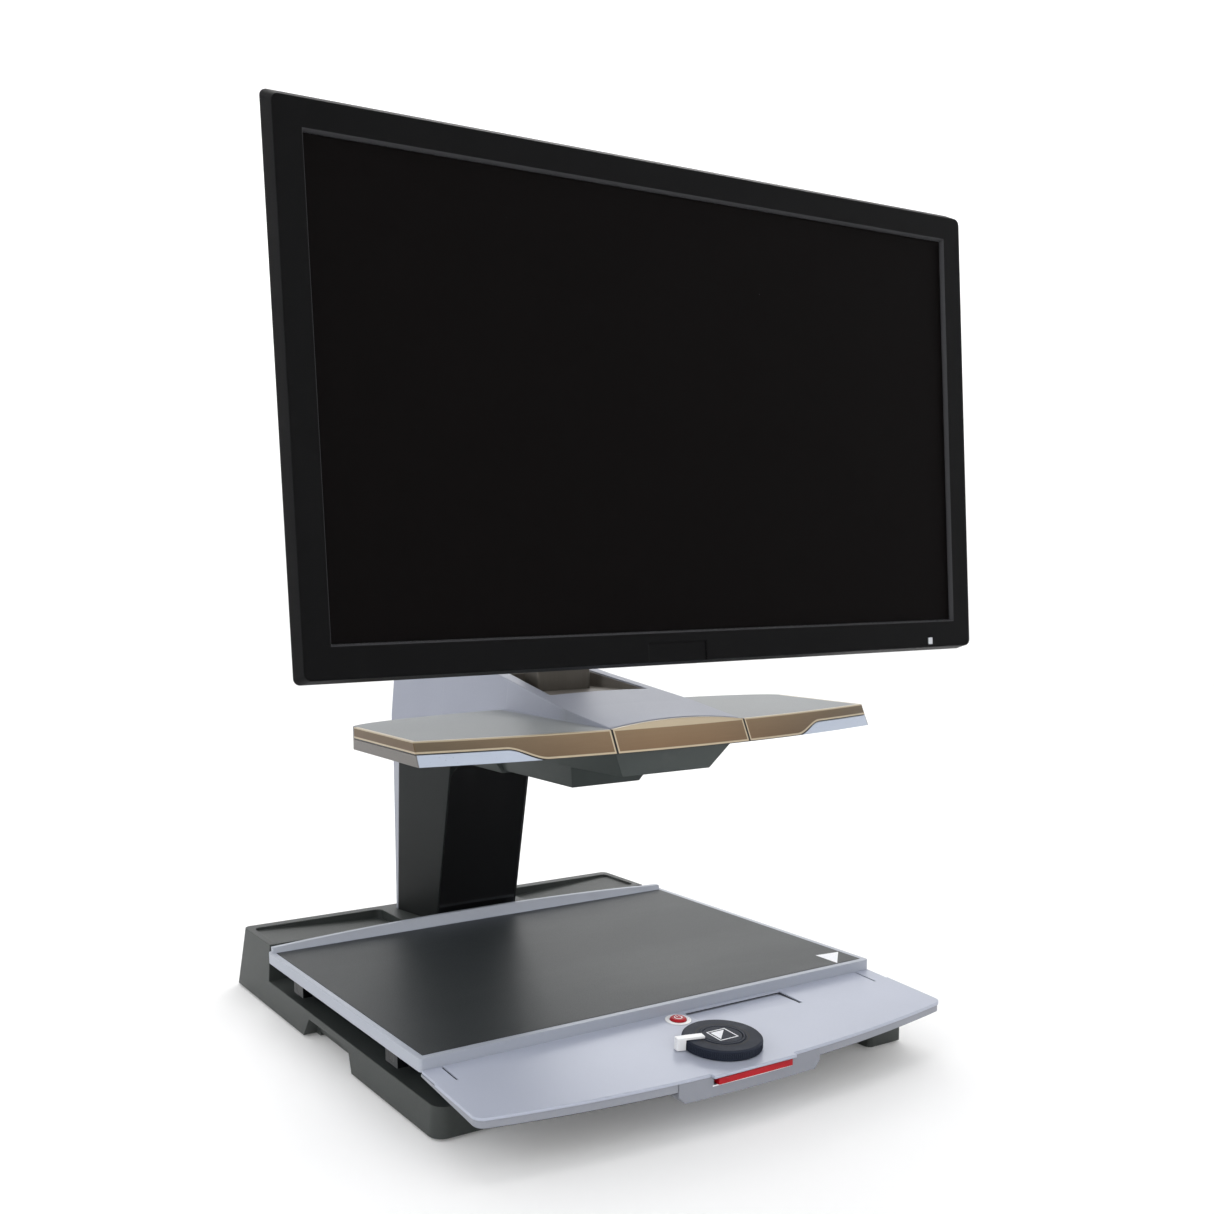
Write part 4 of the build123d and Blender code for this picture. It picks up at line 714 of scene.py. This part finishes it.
# Dark strips laid in the bottoms of the grooves: painted shadow in the grooves.
groove_shadow_fill = textured_plastic("groove_shadow_fill", tint(20, 22, 30), tint(28, 30, 38), 1500.0, 0.0, 0.7)
groove_loops = [
    bar_quad(GROOVE_NEAR_X, GROOVE_FAR_X, GROOVE_BEND, GROOVE_BACK),
    bar_quad(GROOVE_FAR_X - GROOVE_LEG, GROOVE_FAR_X, GROOVE_FRONT, GROOVE_BEND),
]
for middle in (-END_GROOVE_X, END_GROOVE_X):
    left, right = middle - END_GROOVE_HALF, middle + END_GROOVE_HALF
    groove_loops.append(bar_quad(left, right, END_GROOVE_FRONT, END_GROOVE_BACK))
printed("groove_shadow_strips", groove_loops, groove_bottom, "table", groove_shadow_fill)

SLOT_HALF = 0.034
SLOT_LOW = 0.0333
SLOT_TOP = 0.0383
SLOT_EDGE = 0.0009
SLOT_STEPS = 24
PANEL_BOW_R = 1.0993
housing_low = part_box("control_housing")[0]
# Light lines along the slot's upper and lower rims, in the white print finish: painted highlights where the
# rims catch the light.
slot_rim_highlight = bpy.data.meshes.new("slot_rim_highlight")
slot_shape = bmesh.new()
for low, high in ((SLOT_LOW - SLOT_EDGE, SLOT_LOW), (SLOT_TOP, SLOT_TOP + SLOT_EDGE)):
    columns = []
    for i in range(SLOT_STEPS + 1):
        x = (SLOT_HALF + SLOT_EDGE) * (2 * i / SLOT_STEPS - 1)
        y = housing_low.y + PANEL_BOW_R - math.sqrt(PANEL_BOW_R ** 2 - x * x) - 0.0001
        columns.append([slot_shape.verts.new((x, y, z)) for z in (low, high)])
    for near, far in zip(columns, columns[1:]):
        slot_shape.faces.new((near[0], far[0], far[1], near[1]))
slot_shape.to_mesh(slot_rim_highlight)
slot_shape.free()
slot_rim_highlight.materials.append(white_ink)
slot_highlight_lines = bpy.data.objects.new("slot_rim_highlight", slot_rim_highlight)
bpy.context.scene.collection.objects.link(slot_highlight_lines)
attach(slot_highlight_lines, "table")


# The dial turns on the panel: a slate-blue ring with a chamfered top, a groove drawn as a flat black ring
# of painted shadow, and a push button in the middle that carries a printed square, half filled. Ribs round
# its rim give grip.

dial_turn = next(j for j in frame["joints"] if j["name"] == "zoom_turn")
dial_axis = Vector(dial_turn["axis"]).normalized()
dial_side = Vector((1, 0, 0))
dial_back = dial_axis.cross(dial_side)
dial_spin = Matrix((dial_side, dial_back, dial_axis)).transposed().to_4x4()
dial_place = Matrix.Translation(Vector(dial_turn["pos_m"])) @ dial_spin

dial_plastic = Finish("dial_plastic")
dial_grain = dial_plastic.noise(2200.0, 2.0)
wear = dial_plastic.ramp(dial_plastic.noise(120.0, 5.0), 0.5, 0.72)
dial_shade = dial_plastic.mix(wear * 0.4, tint(33, 38, 50), tint(40, 45, 58))
dial_sockets = {
    "Base Color": dial_shade,
    "Roughness": 0.55 + (dial_grain - 0.5) * 0.16 - wear * 0.06,
    "Specular IOR Level": 0.15,
}
dial_material = dial_plastic.shade(dial_sockets, dial_grain, 0.00003, 0.0008)
dress(dial_material, "zoom_dial", "lever_hub", "center_button")

DIAL_RADIUS = 0.0283
DIAL_HEIGHT = 0.0076
DIAL_RIBS = 120
DIAL_RIB_LENGTH = 0.0044
DIAL_RIB_RADIUS = 0.00035
DIAL_RIB_MIDDLE = 0.0034
grown(
    "dial_ribs",
    rib_tree("dial_ribs"),
    {
        "Radius": DIAL_RADIUS - 0.0001,
        "Length": DIAL_RIB_LENGTH,
        "Rib Width": DIAL_RIB_RADIUS,
        "Count": DIAL_RIBS,
        "Finish": dial_material,
    },
    dial_place @ Matrix.Translation((0, 0, DIAL_RIB_MIDDLE)),
    "dial",
)

RING_OUTER = 0.0192
RING_INNER = 0.0180
# A flat black ring on the dial's top: painted shadow standing in for the groove.
groove_shadow_black = textured_plastic("groove_shadow_black", tint(14, 14, 16), tint(20, 20, 22), 1500.0, 0.0, 0.6)
printed(
    "dial_groove_shadow",
    ring_quads(RING_OUTER, RING_INNER),
    dial_place @ Matrix.Translation((0, 0, DIAL_HEIGHT)),
    "dial",
    groove_shadow_black,
)

BUTTON_HEIGHT = 0.0079
SQUARE = 0.0082
LINE = 0.0010
INSIDE = 0.0022
square = [
    bar_quad(-SQUARE, SQUARE, SQUARE - LINE, SQUARE),
    bar_quad(-SQUARE, SQUARE, -SQUARE, -SQUARE + LINE),
    bar_quad(-SQUARE, -SQUARE + LINE, -SQUARE, SQUARE),
    bar_quad(SQUARE - LINE, SQUARE, -SQUARE, SQUARE),
    [
        (-SQUARE + INSIDE, SQUARE - INSIDE),
        (-SQUARE + INSIDE, -SQUARE + INSIDE),
        (SQUARE - INSIDE, SQUARE - INSIDE),
    ],
]
button_top = dial_place @ Matrix.Translation((0, 0, BUTTON_HEIGHT))
printed("button_mark", square, button_top, "center_key", white_ink)


# White gloss mouldings: the mode lever, which turns with the ring under the dial,
# and the fixed ring round the power button.

white_gloss = Finish("white_gloss")
ivory = white_gloss.noise(30.0, 4.0)
skin = white_gloss.noise(900.0, 2.0)
white_sockets = {
    "Base Color": white_gloss.mix(
        white_gloss.ramp(ivory, 0.35, 0.75), tint(240, 240, 240), tint(222, 223, 226)
    ),
    "Roughness": 0.26 + (skin - 0.5) * 0.1 + (ivory - 0.5) * 0.1,
}
dress(white_gloss.shade(white_sockets, skin, 0.00001, 0.0006), "mode_lever", "power_ring")


# Red gloss mouldings: the domed power button and the brake slider.
# The power sign is printed in white on top of the button: an open ring and a bar.

red_gloss = Finish("red_gloss")
red_cloud = red_gloss.noise(80.0, 4.0)
red_skin = red_gloss.noise(800.0, 2.0)
red_sockets = {
    "Base Color": red_gloss.mix(red_gloss.ramp(red_cloud, 0.35, 0.7), tint(172, 10, 26), tint(160, 8, 22)),
    "Roughness": 0.34 + (red_skin - 0.5) * 0.12,
    "Specular IOR Level": 0.25,
}
dress(red_gloss.shade(red_sockets, red_skin, 0.00001, 0.0006), "power_button", "brake_bar")

SIGN_RISE = 0.00265
SIGN_OUTER = 0.0031
SIGN_INNER = 0.0024
SIGN_STEPS = 28
SIGN_BAR_HALF = 0.00035
SIGN_BAR_LOW = 0.0008
SIGN_BAR_HIGH = 0.0038
power_low, power_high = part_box("power_button")
power_middle = (power_low + power_high) / 2
power_place = Matrix.Translation(power_middle + dial_axis * SIGN_RISE) @ dial_spin
power_sign = ring_quads(SIGN_OUTER, SIGN_INNER, math.radians(120), math.radians(300), SIGN_STEPS)
power_sign.append(bar_quad(-SIGN_BAR_HALF, SIGN_BAR_HALF, SIGN_BAR_LOW, SIGN_BAR_HIGH))
printed("power_sign", power_sign, power_place, "power_key", white_ink)


# The screen: a black moulded bezel whose inner slope is painted paler as a painted highlight, the display
# behind it with a dull anti-glare front, and a rear shell held by two rows of screws. Both mouldings have a
# matt grain.

OPENING_HALF = 0.26675
OPENING_HALF_HIGH = 0.1507
OPENING_DROP = 0.0007
SCREEN_TILT = math.radians(4.1)
opening_middle = Vector((0.0, -0.159, 0.4825))
bezel = Finish("bezel_plastic")
bezel_grain = bezel.noise(3000.0, 2.0)
leaned = bezel.add(
    "ShaderNodeMapping",
    {"vector_type": "TEXTURE"},
    {"Vector": bezel.place, "Location": opening_middle, "Rotation": (-SCREEN_TILT, 0.0, 0.0)},
)
screen_v = bezel.add("ShaderNodeSeparateXYZ", {}, {"Vector": leaned}, out=2)
# The bezel's inner slope round the opening is painted paler and glossier: a painted highlight where it
# catches the light.
inside_width = bezel.ramp(abs(bezel.axis("X")), OPENING_HALF + 0.0003, OPENING_HALF + 0.0001)
inside_height = bezel.ramp(abs(screen_v + OPENING_DROP), OPENING_HALF_HIGH + 0.0002, OPENING_HALF_HIGH)
inner_slope_highlight = inside_width * inside_height
bezel_cloud = bezel.noise(9.0, 4.0)
bezel_shade = bezel.mix(bezel_cloud, tint(6, 6, 7), tint(9, 9, 10))
bezel_sockets = {
    "Base Color": bezel.mix(inner_slope_highlight, bezel_shade, tint(64, 64, 66)),
    "Roughness": 0.48 + (bezel_grain - 0.5) * 0.16 - inner_slope_highlight * 0.2,
    "Specular IOR Level": 0.06,
}
dress(bezel.shade(bezel_sockets, bezel_grain, 0.00004, 0.0018), "screen_bezel")
shell_plastic = textured_plastic(
    "shell_plastic", tint(28, 28, 30), tint(34, 34, 36), 1400.0, 0.002, 0.5, 0.0001
)
dress(shell_plastic, "screen_rear_shell")

display = Finish("display_front")
etch = display.noise(5200.0, 1.0)
wipe = display.noise(4.0, 5.0, 0.6, display.along(1.0, 1.0, 2.2))
speck = display.ramp(display.cells(34.0), 0.022, 0.012)
display_shade = display.mix(display.ramp(wipe, 0.35, 0.75), tint(6, 4, 4), tint(8, 6, 6))
display_shade = display.mix(speck * 0.4, display_shade, tint(100, 98, 100))
display_sockets = {
    "Base Color": display_shade,
    "Roughness": 0.46 + (etch - 0.5) * 0.08 + display.ramp(wipe, 0.45, 0.7) * 0.08,
    "Specular IOR Level": 0.03,
}
dress(display.shade(display_sockets, etch, 0.000008), "lcd_panel")

press = next(j for j in frame["joints"] if j["name"] == "screen_press")
screen_deep = Vector(press["axis"]).normalized()
screen_side = Vector((1, 0, 0))
screen_up = screen_side.cross(screen_deep)
display_low, display_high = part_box("lcd_panel")
screen_spin = Matrix((screen_side, screen_up, -screen_deep)).transposed().to_4x4()
screen_place = Matrix.Translation((display_low + display_high) / 2) @ screen_spin

SHELL_SCREW_DEPTH = 0.0266
SHELL_SCREW_RADIUS = 0.0026
SHELL_SPREAD_X = 0.52
SHELL_SPREAD_Y = 0.31
grown(
    "shell_screws",
    screw_tree("screw_grid_shell", 6, 2),
    {
        "Width": SHELL_SPREAD_X,
        "Depth": SHELL_SPREAD_Y,
        "Head Radius": SHELL_SCREW_RADIUS,
        "Finish": black_anodised_and_painted_shade,
    },
    screen_place @ Matrix.Translation((0, 0, -SHELL_SCREW_DEPTH)) @ Matrix.Rotation(math.pi, 4, "Y"),
    "screen",
)


# The stage: a round pale floor that curves up into a wall on all sides, a large soft lamp
# overhead and smaller ones at the sides, and a camera at the reader's left.

FLOOR_FLAT = 2.5
COVE = 1.5
WALL_TOP = 7.0
COVE_STEPS = 16
ROUND_STEPS = 72
sweep = bpy.data.meshes.new("studio_floor")
floor_shape = bmesh.new()
profile = [(0.6, 0.0), (1.4, 0.0)]
for i in range(COVE_STEPS + 1):
    a = math.pi / 2 * i / COVE_STEPS
    profile.append((FLOOR_FLAT + COVE * math.sin(a), COVE - COVE * math.cos(a)))
profile.append((FLOOR_FLAT + COVE, WALL_TOP))
rings = []
turns = [2 * math.pi * i / ROUND_STEPS for i in range(ROUND_STEPS)]
for radius, z in profile:
    rings.append([floor_shape.verts.new((radius * math.cos(t), radius * math.sin(t), z)) for t in turns])
floor_shape.faces.new(rings[0])
for inner, outer in zip(rings, rings[1:]):
    for i in range(ROUND_STEPS):
        k = (i + 1) % ROUND_STEPS
        floor_shape.faces.new((inner[i], outer[i], outer[k], inner[k]))
floor_shape.to_mesh(sweep)
floor_shape.free()
for face in sweep.polygons:
    face.use_smooth = True
floor = bpy.data.objects.new("studio_floor", sweep)
bpy.context.scene.collection.objects.link(floor)
floor_finish = Finish("studio_paper")
paper = floor_finish.noise(3.0, 3.0)
floor_shade = floor_finish.mix(paper, tint(236, 236, 236), tint(240, 240, 240))
wall_share = floor_finish.ramp(floor_finish.axis("Z"), 0.0, 1.4)
floor_glow = floor_finish.mix(wall_share, tint(140, 140, 140), tint(252, 252, 252))
floor_sockets = {
    "Base Color": floor_shade,
    "Roughness": 0.85,
    "Emission Color": floor_glow,
    "Emission Strength": 0.38,
}
sweep.materials.append(floor_finish.shade(floor_sockets))

world = bpy.data.worlds.new("studio_air")
bpy.context.scene.world = world
world.use_nodes = True
background = world.node_tree.nodes["Background"]
background.inputs["Color"].default_value = (0.93, 0.95, 1.0, 1.0)
background.inputs["Strength"].default_value = 0.27


def lamp(name, place, aim, size, power, colour=(1.0, 1.0, 1.0)):
    """A square soft lamp pointed at a place on the object."""
    light = bpy.data.lights.new(name, "AREA")
    light.size = size
    light.energy = power
    light.color = colour
    holder = bpy.data.objects.new(name, light)
    holder.location = place
    holder.rotation_euler = (Vector(aim) - Vector(place)).to_track_quat("-Z", "Y").to_euler()
    bpy.context.scene.collection.objects.link(holder)


lamp("overhead_lamp", (0.3, 0.5, 2.6), (0.0, 0.0, 0.2), 2.2, 27, (1.0, 0.98, 0.96))
lamp("left_lamp", (-2.4, -0.6, 1.5), (0.0, 0.0, 0.25), 1.4, 11, (0.94, 0.97, 1.0))
lamp("front_lamp", (0.9, -2.6, 1.2), (0.0, 0.0, 0.15), 1.6, 7, (1.0, 0.99, 0.97))
lamp("rear_lamp", (1.6, 2.0, 1.8), (0.0, 0.1, 0.3), 1.2, 9)

camera_data = bpy.data.cameras.new("view")
camera_data.sensor_width = 36.0
camera_data.lens = 39.2762
camera_data.shift_x = 0.04014
camera_data.shift_y = 0.1
camera_data.clip_start = 0.05
camera_data.clip_end = 50.0
camera = bpy.data.objects.new("view", camera_data)
heading = math.radians(-31.74773)
pitch = math.radians(7.04194)
roll = math.radians(-0.44672)
level = math.cos(pitch)
forward = Vector((-math.sin(heading) * level, math.cos(heading) * level, -math.sin(pitch)))
right = Vector((math.cos(heading), math.sin(heading), 0.0))
up = right.cross(forward)
right, up = right * math.cos(roll) + up * math.sin(roll), up * math.cos(roll) - right * math.sin(roll)
turn = Matrix((right, up, -forward)).transposed().to_4x4()
camera_place = Vector((-0.56697, -0.910967, 0.378798))
camera.matrix_world = Matrix.Translation(camera_place) @ turn
bpy.context.scene.collection.objects.link(camera)
bpy.context.scene.camera = camera
bpy.context.scene.view_settings.view_transform = "Standard"
